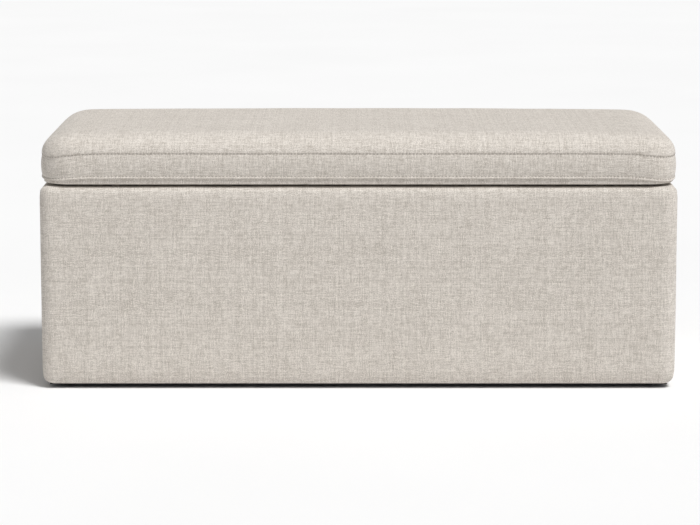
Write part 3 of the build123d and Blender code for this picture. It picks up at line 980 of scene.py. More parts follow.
@dataclass(frozen=True)
class MouldedFinish:
    """Moulded plastic, or felt where fuzz is above 0.

    Attributes:
        name: the material's name.
        shade: its colour.
        roughness: its middle roughness.
        pebble: size of its surface grain.
        fuzz: how much sheen loose fibres give it.
        scuff_scale: how often it is scuffed, per metre.
        scuff_span: noise where a scuff starts and where it is whole.
        dark_share: the darker places' share of its colour.
        rough_range: how far its roughness goes either way.
        rise: the grain's height, as a share of its size.
        bump_share: strength of the grain.
    """

    name: str
    shade: Colour
    roughness: float
    pebble: float
    fuzz: float = 0.0
    scuff_scale: float = 90.0
    scuff_span: tuple[float, float] = (0.3, 0.7)
    dark_share: float = 0.8
    rough_range: float = 0.08
    rise: float = 0.3
    bump_share: float = 0.4

    def material(self) -> bpy.types.Material:
        """Builds the finish in the frame's own space."""
        g = Graph(self.name)
        place = g.object_place()
        grain = g.noise(place, 1 / self.pebble, 3.0, 0.6)
        scuffs = g.noise(place, self.scuff_scale, 4.0, 0.6)
        darker = tint(*(c * self.dark_share for c in self.shade[:3]))
        colour = g.mix(g.math("MULTIPLY_ADD", scuffs, 0.5, g.math("MULTIPLY", grain, 0.5)),
                       darker, self.shade)
        g.bump(grain, self.pebble * self.rise, self.bump_share)
        rough = g.spread(scuffs, *self.scuff_span, self.roughness - self.rough_range,
                         self.roughness + self.rough_range)
        return g.finish(Base_Color=colour, Roughness=rough, Sheen_Weight=self.fuzz)


# ---- the shared wardrobe of finishes --------------------------------------------------------
class Wardrobe:
    """Every finish on the ottoman, each built once."""

    def __init__(self) -> None:
        """Builds the materials."""
        self.linen = LinenFinish(
            "oatmeal_linen", tint(0.44, 0.395, 0.345), tint(0.86, 0.805, 0.74)).material()
        self.thread = MouldedFinish(
            "topstitch_thread", tint(0.42, 0.38, 0.33), 0.75, 0.3 * MM, fuzz=0.3).material()
        self.lining = PlainClothFinish(
            "lining_twill", tint(0.30, 0.27, 0.24), tint(0.56, 0.52, 0.46)).material()
        self.dust_cloth = PlainClothFinish(
            "bonded_dust_cloth", tint(0.012, 0.012, 0.013), tint(0.05, 0.05, 0.055),
            thread=1.6 * MM, depth=0.3 * MM, bonded=True).material()
        self.foam = PaddingFinish(
            "upholstery_foam", tint(0.62, 0.52, 0.28), tint(0.90, 0.82, 0.56), 1.2 * MM).material()
        self.wadding = PaddingFinish(
            "polyester_wadding", tint(0.66, 0.66, 0.65), tint(0.95, 0.95, 0.94), 1.5 * MM,
            fibrous=True).material()
        self.chipboard = WoodFinish(
            "chipboard", tint(0.30, 0.20, 0.11), tint(0.72, 0.55, 0.36), Grain.PRESSED).material()
        late_wood, early_wood = tint(0.50, 0.32, 0.16), tint(0.80, 0.62, 0.38)
        self.softwood_x = WoodFinish(
            "softwood_along", late_wood, early_wood, Grain.ALONG_X).material()
        self.softwood_y = WoodFinish(
            "softwood_across", late_wood, early_wood, Grain.ALONG_Y).material()
        self.zinc = MetalFinish("zinc_plate", tint(0.80, 0.81, 0.82), 0.22, 0.42).material()
        self.stay_steel = MetalFinish(
            "stay_steel", tint(0.74, 0.745, 0.75), 0.25, 0.45, brushed=False).material()
        self.screw_steel = MetalFinish(
            "passivated_screws", tint(0.86, 0.78, 0.52), 0.25, 0.45, brushed=False).material()
        self.staple_wire = MetalFinish(
            "staple_wire", tint(0.78, 0.78, 0.79), 0.28, 0.4, brushed=False).material()
        self.nylon = MouldedFinish(
            "nylon_washers", tint(0.80, 0.80, 0.77), 0.42, 0.6 * MM).material()
        self.glide_plastic = MouldedFinish(
            "glide_plastic", tint(0.035, 0.03, 0.028), 0.45, 0.5 * MM).material()
        self.felt = MouldedFinish(
            "bumper_felt", tint(0.20, 0.17, 0.145), 0.95, 0.8 * MM, fuzz=0.5).material()


def dress(piece: bpy.types.Object, material: bpy.types.Material) -> None:
    """Gives a whole piece one material."""
    piece.data.materials.clear()
    piece.data.materials.append(material)


@dataclass
class Maker:
    """What every sub-assembly needs: the frame, the finishes and how a piece is handed over."""

    nodes: dict[str, bpy.types.Object]
    wardrobe: Wardrobe

    def hand_over(self, piece: bpy.types.Object, body: str, slot: str, material: bpy.types.Material,
                  *replaced: str) -> bpy.types.Object:
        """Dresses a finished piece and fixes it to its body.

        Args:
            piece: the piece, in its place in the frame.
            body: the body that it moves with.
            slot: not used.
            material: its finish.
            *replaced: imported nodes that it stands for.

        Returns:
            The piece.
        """
        dress(piece, material)
        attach(piece, body)
        if replaced:
            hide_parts(*replaced)
        LOG.info("%s on %s, %d points", piece.name, body, len(piece.data.vertices))
        return piece


# ---- the box -----------------------------------------------------------------------------------
@dataclass
class BoxCover(Maker):
    """The woven sleeve over the box, its linings, its dust cloth and the padding under it."""

    thickness: float = 1.5 * MM
    step: float = 9 * MM
    corner_radius: float = 20 * MM
    foot_radius: float = 12 * MM
    rim_radius: float = 8 * MM
    hem: float = 38 * MM
    bulge: float = 2.6 * MM
    rim_draw: float = 3.4 * MM
    back_radius: float = 4.6 * MM
    rim_reach: float = 16 * MM
    foot_draw: float = 3.6 * MM
    foot_reach: float = 30 * MM
    front_padding: float = 13.5 * MM
    board: float = 15 * MM
    least_depth: float = 1.0 * MM
    least_gap: float = 0.3 * MM
    pad_clearance: float = 0.3 * MM
    wadding_end: float = 9 * MM
    back_corner: float = 2.5 * MM
    end_fade: float = 100 * MM
    side_fade: float = 80 * MM
    end_turn: float = 14 * MM
    facing: float = 0.7
    fullness: float = 0.7
    back_share: float = 0.35
    top_band: float = 0.95
    long_wave: Wave = (0.11, 3.0, 0.35 * MM)
    short_wave: Wave = (0.035, 8.0, 0.14 * MM)
    rim_wave: Wave = (0.09, 5.0, 0.4 * MM)
    cloth_height: float = 0.412
    lining_corner: float = 6 * MM
    lining_step: float = 14 * MM
    lining_foot: float = 60 * MM
    lining_rim: float = 30 * MM
    plate_hold: tuple[float, float] = (45 * MM, 110 * MM)

    def plan(self, inset: float = 0.0) -> Plan:
        """The box's outline."""
        low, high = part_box("outer_cover")
        shares = tuple(np.tan(np.linspace(0, math.pi / 4, 5)[1:]))
        return Plan(high.x - inset, low.y + inset, high.y - inset, self.corner_radius, self.back_corner,
                    self.step, shares)

    def cover(self) -> bpy.types.Object:
        """The sleeve: up from the hem, round the foot, up the sides and over the rim."""
        low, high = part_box("outer_cover")
        plan, t = self.plan(), self.thickness
        inner = self.front_padding + self.board - 0.5 * MM
        foot, rim = self.foot_radius, self.rim_radius
        outside = [(self.hem, low.z)] + straight_path((self.hem, low.z), (foot, low.z), 4)
        outside += round_path((foot, low.z), (0, low.z), (0, low.z + foot), 5)
        rise = (0, low.z + foot), (0, high.z - rim)
        outside += straight_path(*rise, 30)
        outside += round_path((0, high.z - rim), (0, high.z), (rim, high.z), 5)
        outside += straight_path((rim, high.z), (inner, high.z), 4) + [(inner, high.z)]
        inside = [(inner, high.z - t)] + straight_path((inner, high.z - t), (rim, high.z - t), 3)
        inside += round_path((rim, high.z - t), (t, high.z - t), (t, high.z - rim), 4)
        inside += straight_path((t, high.z - rim), (t, low.z + foot), 12)
        inside += round_path((t, low.z + foot), (t, low.z + t), (foot, low.z + t), 4)
        inside += straight_path((foot, low.z + t), (self.hem, low.z + t), 3) + [(self.hem, low.z + t)]
        piece = sleeve(plan, outside + inside, True).build("outer_cover_cloth")
        points = positions(piece)
        ring = plan.ring(0.0)
        columns = len(ring)
        normal = np.tile(ring[:, 2:], (len(points) // columns, 1))
        self.square_back(points, normal, len(outside) * columns, low.z, high.z)
        height = (points[:, 2] - low.z) / (high.z - low.z)
        near_x = np.clip((plan.half_x - np.abs(points[:, 0])) / self.end_fade, 0, 1)
        depth = np.minimum(points[:, 1] - plan.front_y, plan.back_y - points[:, 1])
        near_y = np.clip(depth / self.side_fade, 0, 1)
        faces_y = np.abs(normal[:, 1]) > self.facing
        along = np.where(faces_y, near_x, near_y)
        swell = np.sin(np.clip(height, 0, 1) * math.pi) ** self.fullness * smooth_step(0, 1, along)
        padded = np.where(normal[:, 1] > self.facing, self.back_share, 1.0)
        wavy = waves(points, self.long_wave, self.short_wave)
        push = self.bulge * swell * padded + wavy * smooth_step(0.0, 0.1, height)
        inset = np.repeat([row[0] for row in outside + inside], columns)
        on_side = 1 - smooth_step(self.rim_radius, 2 * self.rim_radius, inset)
        drawn = self.drawn_in(points, low.z, high.z) * on_side
        back = normal[:, 1] > 1e-6
        push -= drawn * ~back
        points[:, 0] -= np.sign(points[:, 0]) * drawn * self.near_end(points) * back
        points[:, 0] += normal[:, 0] * push
        points[:, 1] += normal[:, 1] * push
        top = smooth_step(self.top_band, 1.0, height)
        points[:, 2] += top * waves(points, self.rim_wave)
        move_points(piece, points)
        plan.lengths()[-1]
        return self.hand_over(piece, "box", "cover_fabric", self.wardrobe.linen, "outer_cover")

    def square_back(self, points: np.ndarray, normal: np.ndarray, outside: int, low: float,
                    high: float) -> None:
        """Tightens the rim's and the foot's turns along the back, where there is little padding.

        Args:
            points: the cover's points, which it moves.
            normal: the outward x, y of each.
            outside: how many of the points are on the outside, before those on the inside.
            low: the cover's underside.
            high: its rim.
        """
        skin = np.where(np.arange(len(points)) < outside, 0.0, self.thickness)
        back = smooth_step(0.2, 0.9, normal[:, 1])
        inset = self.plan().back_y - points[:, 1] - skin
        for radius, edge, way in ((self.foot_radius, low, 1.0), (self.rim_radius, high, -1.0)):
            rise = (points[:, 2] - edge) * way - skin
            turn = (rise < radius + 1e-6) & (inset < radius + 1e-6) & (back > 0)
            share = 1 - back * (1 - self.back_radius / radius)
            tighter = rise * share
            before = radius - np.sqrt(np.clip(radius**2 - (radius - rise) ** 2, 0, None))
            after = radius - np.sqrt(np.clip(radius**2 - (radius - tighter) ** 2, 0, None))
            along = np.sign(points[:, 0]) * (after - before) * self.near_end(points)
            points[:, 0] -= np.where(turn, along, 0.0)
            points[:, 1] += np.where(turn, inset * (1 - share), 0.0)
            points[:, 2] -= np.where(turn, (rise - tighter) * way, 0.0)

    def near_end(self, points: np.ndarray) -> np.ndarray:
        """How near each point is to an end of the box, from 0 well inside to 1 at its corners."""
        outer = self.plan().half_x
        return smooth_step(outer - self.side_fade, outer - self.end_turn, np.abs(points[:, 0]))

    def drawn_in(self, points: np.ndarray, low: float, high: float) -> np.ndarray:
        """How far the cloth is pulled in towards the rim and the foot, by height."""
        to_rim = np.clip(1 - (high - points[:, 2]) / self.rim_reach, 0, 1)
        to_foot = np.clip(1 - (points[:, 2] - low) / self.foot_reach, 0, 1)
        return self.rim_draw * to_rim**2 + self.foot_draw * to_foot**2

    def spaced(self, line: np.ndarray) -> np.ndarray:
        """A line's points without those that lie almost on the one before."""
        gap = np.linalg.norm(np.diff(line, axis=0), axis=1)
        return line[np.concatenate([[True], gap > self.least_gap])]

    def tuck_corners(self, points: np.ndarray) -> None:
        """Keeps padding at the two front corners inside the cover where it turns over.

        Args:
            points: the padding's points, which it moves.
        """
        low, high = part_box("outer_cover")
        plan, clearance = self.plan(), 0.6 * MM
        turned = np.zeros(len(points))
        for radius, past in ((self.rim_radius, points[:, 2] - (high.z - self.rim_radius)),
                             (self.foot_radius, low.z + self.foot_radius - points[:, 2])):
            inside = radius - self.thickness
            chord = np.sqrt(np.clip(inside**2 - np.maximum(past, 0) ** 2, 0, None))
            turned = np.maximum(turned, inside - chord)
        drawn = self.drawn_in(points, low.z, high.z)
        allowed = self.corner_radius - self.thickness - clearance - turned - drawn
        centre_x, centre_y = plan.half_x - self.corner_radius, plan.front_y + self.corner_radius
        out_x, out_y = np.abs(points[:, 0]) - centre_x, centre_y - points[:, 1]
        reach = np.maximum(np.hypot(out_x, out_y), TINY)
        over = (out_x > 0) & (out_y > 0) & (reach > allowed)
        share = np.where(over, allowed / reach, 1.0)
        points[:, 0] = np.where(over, np.sign(points[:, 0]) * (centre_x + out_x * share), points[:, 0])
        points[:, 1] = np.where(over, centre_y - out_y * share, points[:, 1])

    def padding(self) -> None:
        """Foam on the front and ends and wadding on the back, each shaped to the cover's inside."""
        plan = self.plan()
        for node in ("front_foam", "left_end_foam", "right_end_foam", "back_wadding"):
            low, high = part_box(node)
            ring = plan.ring(self.thickness + self.pad_clearance)[:, :2]
            if node in ("front_foam", "back_wadding"):
                front = node == "front_foam"
                inner = high.y if front else low.y
                depth = (inner - ring[:, 1]) if front else (ring[:, 1] - inner)
                side = ring[depth > self.least_depth]
                outer = self.spaced(side[np.argsort(side[:, 0])])
                inside = np.stack([outer[:, 0], np.full(len(outer), inner)], axis=1)
            else:
                right = node.startswith("right")
                inner = low.x if right else high.x
                depth = (ring[:, 0] - inner) if right else (inner - ring[:, 0])
                side = ring[depth > self.least_depth]
                last_y = min(high.y, ring[:, 1].max() - self.least_gap)
                side = side[(side[:, 1] > low.y) & (side[:, 1] < last_y)]
                outer = self.spaced(side[np.argsort(side[:, 1])])
                inside = np.stack([np.full(len(outer), inner), outer[:, 1]], axis=1)
            piece = slab(node + "_pad", outer, inside, low.z, high.z, 12)
            points = positions(piece)
            drawn = self.drawn_in(points, low.z, high.z) * (node != "back_wadding")
            axis = 1 if node in ("front_foam", "back_wadding") else 0
            depth = np.abs(points[:, axis] - inner)
            share = 1 - np.minimum(drawn, depth * DEEPEST_DRAW) / np.maximum(depth, TINY)
            points[:, axis] = inner + (points[:, axis] - inner) * share
            if axis == 1:
                spare = drawn if node == "front_foam" else self.wadding_end
                edge = self.plan().half_x - self.thickness - 0.5 * MM - spare
                points[:, 0] = np.clip(points[:, 0], -edge, edge)
            if node != "back_wadding":
                self.tuck_corners(points)
            move_points(piece, points)
            close_up(piece)
            fibrous = node == "back_wadding"
            self.hand_over(piece, "box", "wadding" if fibrous else "foam",
                           self.wardrobe.wadding if fibrous else self.wardrobe.foam, node)

    def side_lining(self) -> bpy.types.Object:
        """The cloth bag's walls inside the box, drawn tight but not quite flat."""
        low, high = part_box("side_lining")
        plan = Plan(high.x, low.y, high.y, self.lining_corner, self.lining_corner,
                    self.lining_step, (0.5, 1.0))
        t = 1.0 * MM
        outside = [(0.0, low.z)] + straight_path((0, low.z), (0, high.z), 20) + [(0.0, high.z)]
        inside = [(t, high.z)] + straight_path((t, high.z), (t, low.z), 20) + [(t, low.z)]
        piece = sleeve(plan, outside + inside, True).build("side_lining_cloth")
        points = positions(piece)
        normal = np.tile(plan.ring(0.0)[:, 2:], (len(outside + inside), 1))
        facing_in = np.arange(len(points)) >= len(outside) * len(plan.ring(0.0))
        free = smooth_step(0.0, self.lining_foot, points[:, 2] - low.z)
        free *= smooth_step(0.0, self.lining_rim, high.z - points[:, 2])
        for side in ("left", "right"):
            plate_low, plate_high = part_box(side + "_stay_wall_plate")
            centre = (plate_low + plate_high) / 2
            gap = np.linalg.norm(points - np.array(centre), axis=1)
            free *= smooth_step(*self.plate_hold, gap)
        folds = ripple(points * np.array([1.0, 1.0, 0.25]), 0.06, 4.0) + 0.5 * ripple(points, 0.15, 7.0)
        push = np.where(facing_in, (folds * 0.9 + 0.9) * MM, 0.0) * free
        points[:, :2] -= normal * push[:, None]
        move_points(piece, points)
        plan.lengths()[-1]
        return self.hand_over(piece, "box", "lining_fabric", self.wardrobe.lining, "side_lining")

    def make(self) -> None:
        """Builds and dresses everything on the box."""
        self.cover()
        self.padding()
        self.side_lining()
        floor = FlatCloth(self.nodes, self.wardrobe, "floor_lining", "floor_lining_cloth", "box",
                          "lining_fabric", sag=0.0, wrinkle=0.5 * MM)
        floor.make(self.wardrobe.lining, ["floor_board"])
        dust = FlatCloth(self.nodes, self.wardrobe, "dust_cover", "dust_cover_cloth", "box",
                         "dust_cloth", sag=-1.6 * MM, wrinkle=0.12 * MM, staples="dust_cover_staples")
        dust.make(self.wardrobe.dust_cloth, ["dust_cover_staples"])


@dataclass
class FlatCloth(Maker):
    """A level sheet of cloth, held at its staples or lying on a board.

    Attributes:
        node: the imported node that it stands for.
        name: the piece's name.
        body: the body that it moves with.
        slot: its material slot.
        sag: the furthest that it hangs down between its staples, as a negative number.
        wrinkle: height of its small creases.
        staples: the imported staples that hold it, if any do.
        keep_flat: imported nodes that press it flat.
        step: its points' spacing.
        edge_share: how much of the sag is left between its staples.
        slack_reach: how far in from the staples it is at its slackest.
        staple_grid: spacing at which a staple's points count as one spot.
        held_reach: distances at which a staple holds it and lets it go.
        pressed_reach: the same for what presses it flat.
    """

    node: str
    name: str
    body: str
    slot: str
    sag: float
    wrinkle: float
    staples: str = ""
    keep_flat: tuple[str, ...] = ()
    step: float = 9 * MM
    edge_share: float = 0.35
    slack_reach: float = 80 * MM
    staple_grid: float = 12 * MM
    held_reach: tuple[float, float] = (3 * MM, 30 * MM)
    pressed_reach: tuple[float, float] = (2 * MM, 30 * MM)

    def held_at(self, points: np.ndarray) -> np.ndarray:
        """How freely each point can move, 0 at a staple or under a fitting and 1 well away."""
        free = np.ones(len(points))
        if self.staples:
            held = positions(self.nodes[self.staples])
            low_x, high_x = held[:, 0].min(), held[:, 0].max()
            low_y, high_y = held[:, 1].min(), held[:, 1].max()
            near_x = np.minimum(points[:, 0] - low_x, high_x - points[:, 0])
            near_y = np.minimum(points[:, 1] - low_y, high_y - points[:, 1])
            inward = np.minimum(near_x, near_y)
            slack = smooth_step(0.0, self.slack_reach, inward)
            free *= self.edge_share + (1 - self.edge_share) * slack
            grid = self.staple_grid
            spots = np.unique(np.round(held[:, :2] / grid).astype(int), axis=0) * grid
            for spot in spots:
                gap = np.linalg.norm(points[:, :2] - spot, axis=1)
                free *= smooth_step(*self.held_reach, gap)
        for name in self.keep_flat:
            low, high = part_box(name)
            across = np.maximum(np.maximum(low.x - points[:, 0], points[:, 0] - high.x), 0)
            along = np.maximum(np.maximum(low.y - points[:, 1], points[:, 1] - high.y), 0)
            free *= smooth_step(*self.pressed_reach, np.hypot(across, along))
        return free

    def make(self, material: bpy.types.Material, rests_on: list[str]) -> bpy.types.Object:
        """Builds and dresses the sheet.

        Args:
            material: its finish.
            rests_on: not used.

        Returns:
            The piece.
        """
        low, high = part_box(self.node)
        size = high - low
        count_x, count_y = math.ceil(size.x / self.step), math.ceil(size.y / self.step)
        bpy.ops.object.select_all(action="DESELECT")
        bpy.ops.mesh.primitive_grid_add(
            x_subdivisions=count_x, y_subdivisions=count_y, size=1.0,
            location=((low.x + high.x) / 2, (low.y + high.y) / 2, high.z))
        piece = bpy.context.object
        piece.name = self.name
        piece.scale = (size.x, size.y, 1.0)
        bpy.ops.object.transform_apply(location=True, rotation=False, scale=True)
        points = positions(piece)
        free = self.held_at(points)
        edge_x = np.minimum(points[:, 0] - low.x, high.x - points[:, 0])
        edge_y = np.minimum(points[:, 1] - low.y, high.y - points[:, 1])
        away = smooth_step(0.0, 0.02, np.minimum(edge_x, edge_y))
        crease = ripple(points * np.array([1.0, 0.4, 1.0]), 0.03, 2.0) + ripple(points, 0.09, 5.0)
        lift = np.clip(crease * 0.5 + 0.5, 0, 1) * self.wrinkle
        if self.sag:
            lift = -lift
        points[:, 2] += (self.sag * free * (0.8 + 0.2 * crease) + lift) * away * np.where(self.sag, free, 1)
        move_points(piece, points)
        layer = piece.data.uv_layers.active or piece.data.uv_layers.new(name=WEAVE_MAP)
        layer.name = WEAVE_MAP
        corner = np.zeros(len(piece.data.loops), dtype=int)
        piece.data.loops.foreach_get("vertex_index", corner)
        layer.data.foreach_set("uv", points[corner, :2].ravel())
        apply_modifier(piece, "SOLIDIFY", thickness=size.z, offset=-1.0, use_even_offset=True)
        select_only(piece)
        bpy.ops.object.shade_smooth_by_angle(angle=SMOOTH_ANGLE)
        return self.hand_over(piece, self.body, self.slot, material, self.node)


# ---- the lid ----------------------------------------------------------------------------------
@dataclass
class LidCushion(Maker):
    """The padded lid's cover in three sewn parts, its topstitching and its padding."""

    thickness: float = 1.5 * MM
    end_inset: float = 0.8 * MM
    front_inset: float = 2.0 * MM
    corner_radius: float = 48 * MM
    crown_reach: float = 47 * MM
    step: float = 7 * MM
    lip_height: float = 9 * MM
    seam_height: float = 48.5 * MM
    seam_depth: float = 1.0 * MM
    seam_edge: float = 1.4 * MM
    stitch_rise: float = 4.2 * MM
    border_bulge: float = 1.6 * MM
    dome: float = 2.5 * MM
    seam_droop: float = 8.0 * MM
    lip_droop: float = 7.5 * MM
    droop_reach: float = 48 * MM
    pleat_depth: float = 1.1 * MM
    shoulder: float = 0.8 * MM
    most_puff: float = 2.0 * MM
    puff_pressure: float = 0.15
    crown_drop: float = 1.2 * MM
    crown_power: float = 0.92
    left_droop: float = 0.7
    puckers: tuple[Wave, ...] = ((0.014, 11.0, 0.28 * MM), (0.05, 2.0, 0.45 * MM))
    swells: tuple[Wave, ...] = ((0.13, 9.0, 0.8 * MM), (0.045, 4.0, 0.22 * MM))
    band_wave: Wave = (0.05, 12.0, 0.3 * MM)
    band_hem: float = 36 * MM
    band_turn: float = 2.2 * MM
    band_cloth: float = 0.053
    pleats: tuple[tuple[float, float, float], ...] = ((1, -66.0, -22.0), (-1, -52.0, -30.0))
    pleat_width: float = 3.2 * MM
    pleat_span: tuple[float, float] = (0.08, 0.95)
    foam_inset: float = 9 * MM
    foam_crown: float = 32 * MM
    stitch_pitch: float = 5.6 * MM

    def __post_init__(self) -> None:
        """Works out the plan, the levels and the crown from the frame."""
        low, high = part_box("lid_border")
        self.low_z, self.top_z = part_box("lid_lower_band")[0].z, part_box("lid_top_panel")[1].z
        self.seam_z = self.low_z + self.seam_height
        self.lip_z = self.low_z + self.lip_height
        self.half_x = high.x - self.end_inset
        self.front_y, self.back_y = low.y + self.front_inset, high.y - 0.3 * MM
        self.middle_y = (self.front_y + self.back_y) / 2
        self.crown = self.crown_rows()
        count = len(self.crown) - 1
        self.ranks = np.array([1 - k / count for k in range(count + 1)])

    def plan(self, inset: float) -> Plan:
        """The lid's outline, drawn in by inset."""
        radius = self.corner_radius - inset
        return Plan(self.half_x - inset, self.front_y + inset, self.back_y - inset, radius, radius,
                    self.step, tuple(np.linspace(0.1, 1.0, 10)))

    def crown_rows(self) -> np.ndarray:
        """Inset and rise of each row of the crown, from the seam to where it is flat."""
        rise = self.top_z - self.seam_z - self.crown_drop
        rows = [(0.0, 0.0), (0.0, self.seam_edge)]
        for share in (0.06, 0.13, 0.21, 0.30, 0.40, 0.50, 0.61, 0.72, 0.83, 0.92, 1.0):
            angle = share * math.pi / 2
            inset = (1 - math.cos(angle) ** self.crown_power) * self.crown_reach
            rows.append((inset, math.sin(angle) ** self.crown_power * rise))
        rows[-1] = (self.corner_radius, rise)
        return np.array(rows)

    def lines(self, half: float) -> tuple[np.ndarray, np.ndarray, np.ndarray]:
        """The top panel's grid lines across one direction.

        Args:
            half: half the cushion's size in that direction.

        Returns:
            Each line's place, its signed rank, which is 1 at the edge and 0 from the end of the
            corner inwards, and its row of the crown.
        """
        edge = half - self.crown[:, 0]
        run = edge[-1]
        inner = np.linspace(-run, run, math.ceil(2 * run / self.step) + 1)
        place = np.concatenate([-edge[:-1], inner, edge[:-1][::-1]])
        flat = np.zeros(len(inner))
        rank = np.concatenate([-self.ranks[:-1], flat, self.ranks[:-1][::-1]])
        last = len(self.crown) - 1
        row = np.concatenate([np.arange(last), flat + last, np.arange(last)[::-1]]).astype(int)
        return place, rank, row

    def top_panel(self) -> tuple[np.ndarray, np.ndarray]:
        """The crowned top as a grid.

        Returns:
            The grid's points, and each one's x, y on the flat cloth.
        """
        half_y = (self.back_y - self.front_y) / 2
        place_x, rank_x, row_x = self.lines(self.half_x)
        place_y, rank_y, row_y = self.lines(half_y)
        self.columns, self.rows = len(place_x), len(place_y)
        x, y = np.meshgrid(place_x, place_y)
        a, b = np.meshgrid(rank_x, rank_y)
        row = np.minimum(*np.meshgrid(row_x, row_y))
        inset, rise = self.crown[row, 0], self.crown[row, 1]
        corner = (a != 0) & (b != 0)
        size = np.maximum(np.hypot(a, b), TINY)
        reach = self.corner_radius - inset
        x = np.where(corner, np.sign(a) * (self.half_x - self.corner_radius) + reach * a / size, x)
        y = np.where(corner, np.sign(b) * (half_y - self.corner_radius) + reach * b / size, y)
        dome = self.dome * (1 - (x / self.half_x) ** 2) * np.clip(1 - (y / half_y) ** 2, 0, 1) ** 0.7
        points = np.stack([x, y + self.middle_y, self.seam_z + rise + dome], axis=-1).reshape(-1, 3)
        arc = np.concatenate([[0], np.cumsum(np.linalg.norm(np.diff(self.crown, axis=0), axis=1))])
        extra = (arc[-1] - arc) - (self.crown[-1, 0] - self.crown[:, 0])
        flat_x, flat_y = np.meshgrid(place_x + np.sign(place_x) * extra[row_x],
                                     place_y + np.sign(place_y) * extra[row_y])
        return points, np.stack([flat_x, flat_y], axis=-1).reshape(-1, 2)

    def border_rows(self) -> list[tuple[float, float]]:
        """Inset and height of the border's rows, from under the seam to inside its turned lip."""
        stitch_z = self.lip_z + self.stitch_rise
        top = self.seam_z - self.seam_edge
        rows = [(self.shoulder, top)]
        for share in (0.11, 0.24, 0.38, 0.52, 0.66, 0.79, 0.90):
            lean = self.shoulder * (1 - share) ** 2 - self.border_bulge * math.sin(share**0.85 * math.pi)
            rows.append((lean, top - share * (top - stitch_z)))
        self.stitch_row = len(rows)
        rows.append((1.1 * MM, stitch_z))
        rows += [(-0.1 * MM, self.lip_z + 3.0 * MM), (-0.6 * MM, self.lip_z + 1.6 * MM),
                 (-0.1 * MM, self.lip_z + 0.5 * MM), (1.2 * MM, self.lip_z),
                 (2.6 * MM, self.lip_z + 0.8 * MM), (3.0 * MM, self.lip_z + 8 * MM)]
        return rows

    def rim_order(self) -> np.ndarray:
        """The top panel's edge points in order round the plan, front-left corner first."""
        w, h = self.columns, self.rows
        front = list(range(w - 1))
        right = [j * w + w - 1 for j in range(h - 1)]
        back = [(h - 1) * w + i for i in range(w - 1, 0, -1)]
        left = [j * w for j in range(h - 1, 0, -1)]
        return np.array(front + right + back + left)

    def outward(self, ring: np.ndarray) -> np.ndarray:
        """Outward directions at points in order round the plan, from their neighbours."""
        tangent = np.roll(ring, -1, axis=0) - np.roll(ring, 1, axis=0)
        normal = np.stack([tangent[:, 1], -tangent[:, 0]], axis=1)
        return normal / np.linalg.norm(normal, axis=1, keepdims=True)

    def form(self) -> bpy.types.Object:
        """The cushion's whole outer form, top and border, before it is sewn down."""
        top, top_flat = self.top_panel()
        w = self.columns
        faces, flat = [], []
        for j in range(self.rows - 1):
            for i in range(w - 1):
                ids = (j * w + i, j * w + i + 1, (j + 1) * w + i + 1, (j + 1) * w + i)
                faces.append(ids)
                flat.append([tuple(top_flat[k]) for k in ids])
        self.top_faces, self.top_count = len(faces), len(top)
        rim = self.rim_order()
        count = len(rim)
        ring = top[rim]
        normal = self.outward(ring)
        closed = np.vstack([ring, ring[:1]])[:, :2]
        self.around = np.concatenate([[0], np.cumsum(np.linalg.norm(np.diff(closed, axis=0), axis=1))])
        points, previous, down, last = [top], rim, 0.0, (0.0, self.seam_z)
        for number, (inset, height) in enumerate(self.border_rows()):
            row = np.column_stack([ring[:, :2] - normal * inset, np.full(count, height)])
            points.append(row)
            current = len(top) + number * count + np.arange(count)
            further = down + math.dist(last, (inset, height))
            for c in range(count):
                n = (c + 1) % count
                faces.append((current[c], current[n], previous[n], previous[c]))
                flat.append([(self.around[c], -further), (self.around[c + 1], -further),
                             (self.around[c + 1], -down), (self.around[c], -down)])
            previous, down, last = current, further, (inset, height)
        self.border_length = down
        whole = [tuple(int(k) for k in f) for f in faces]
        return ClothMesh(np.vstack(points), whole, flat).build("lid_border_cloth")

    def ring_of(self, row: int) -> np.ndarray:
        """Numbers of the points of one row of the border."""
        count = len(self.rim_order())
        return self.top_count + row * count + np.arange(count)

    def sew(self, piece: bpy.types.Object) -> None:
        """Pulls the seam in, lets the corners droop and puckers the cloth along the stitches."""
        points = positions(piece)
        rim = self.rim_order()
        normal = np.zeros((len(points), 2))
        normal[rim] = self.outward(points[rim])
        for row in range(len(self.border_rows())):
            normal[self.ring_of(row)] = normal[rim]
        points[rim, :2] -= normal[rim] * self.seam_depth
        height = (points[:, 2] - self.lip_z) / (self.seam_z - self.lip_z)
        near = self.plan(0.0).corner_share(points, self.droop_reach)
        lip = self.lip_droop * np.where(points[:, 0] > 0, 1.0, self.left_droop)
        below = lip + (self.seam_droop - lip) * np.clip(height, 0, 1)
        above = np.clip(1 - (points[:, 2] - self.seam_z) / (self.top_z - self.seam_z), 0, 1)
        points[:, 2] -= near * below * above
        pucker = waves(points, *self.puckers) - self.pleat(points) * self.pleat_depth
        points[:, :2] += normal * pucker[:, None]
        top = np.arange(len(points)) < self.top_count
        swell = waves(points[top], *self.swells)
        points[top, 2] += swell * smooth_step(0.0, 0.03, points[top, 2] - self.seam_z)
        move_points(piece, points)

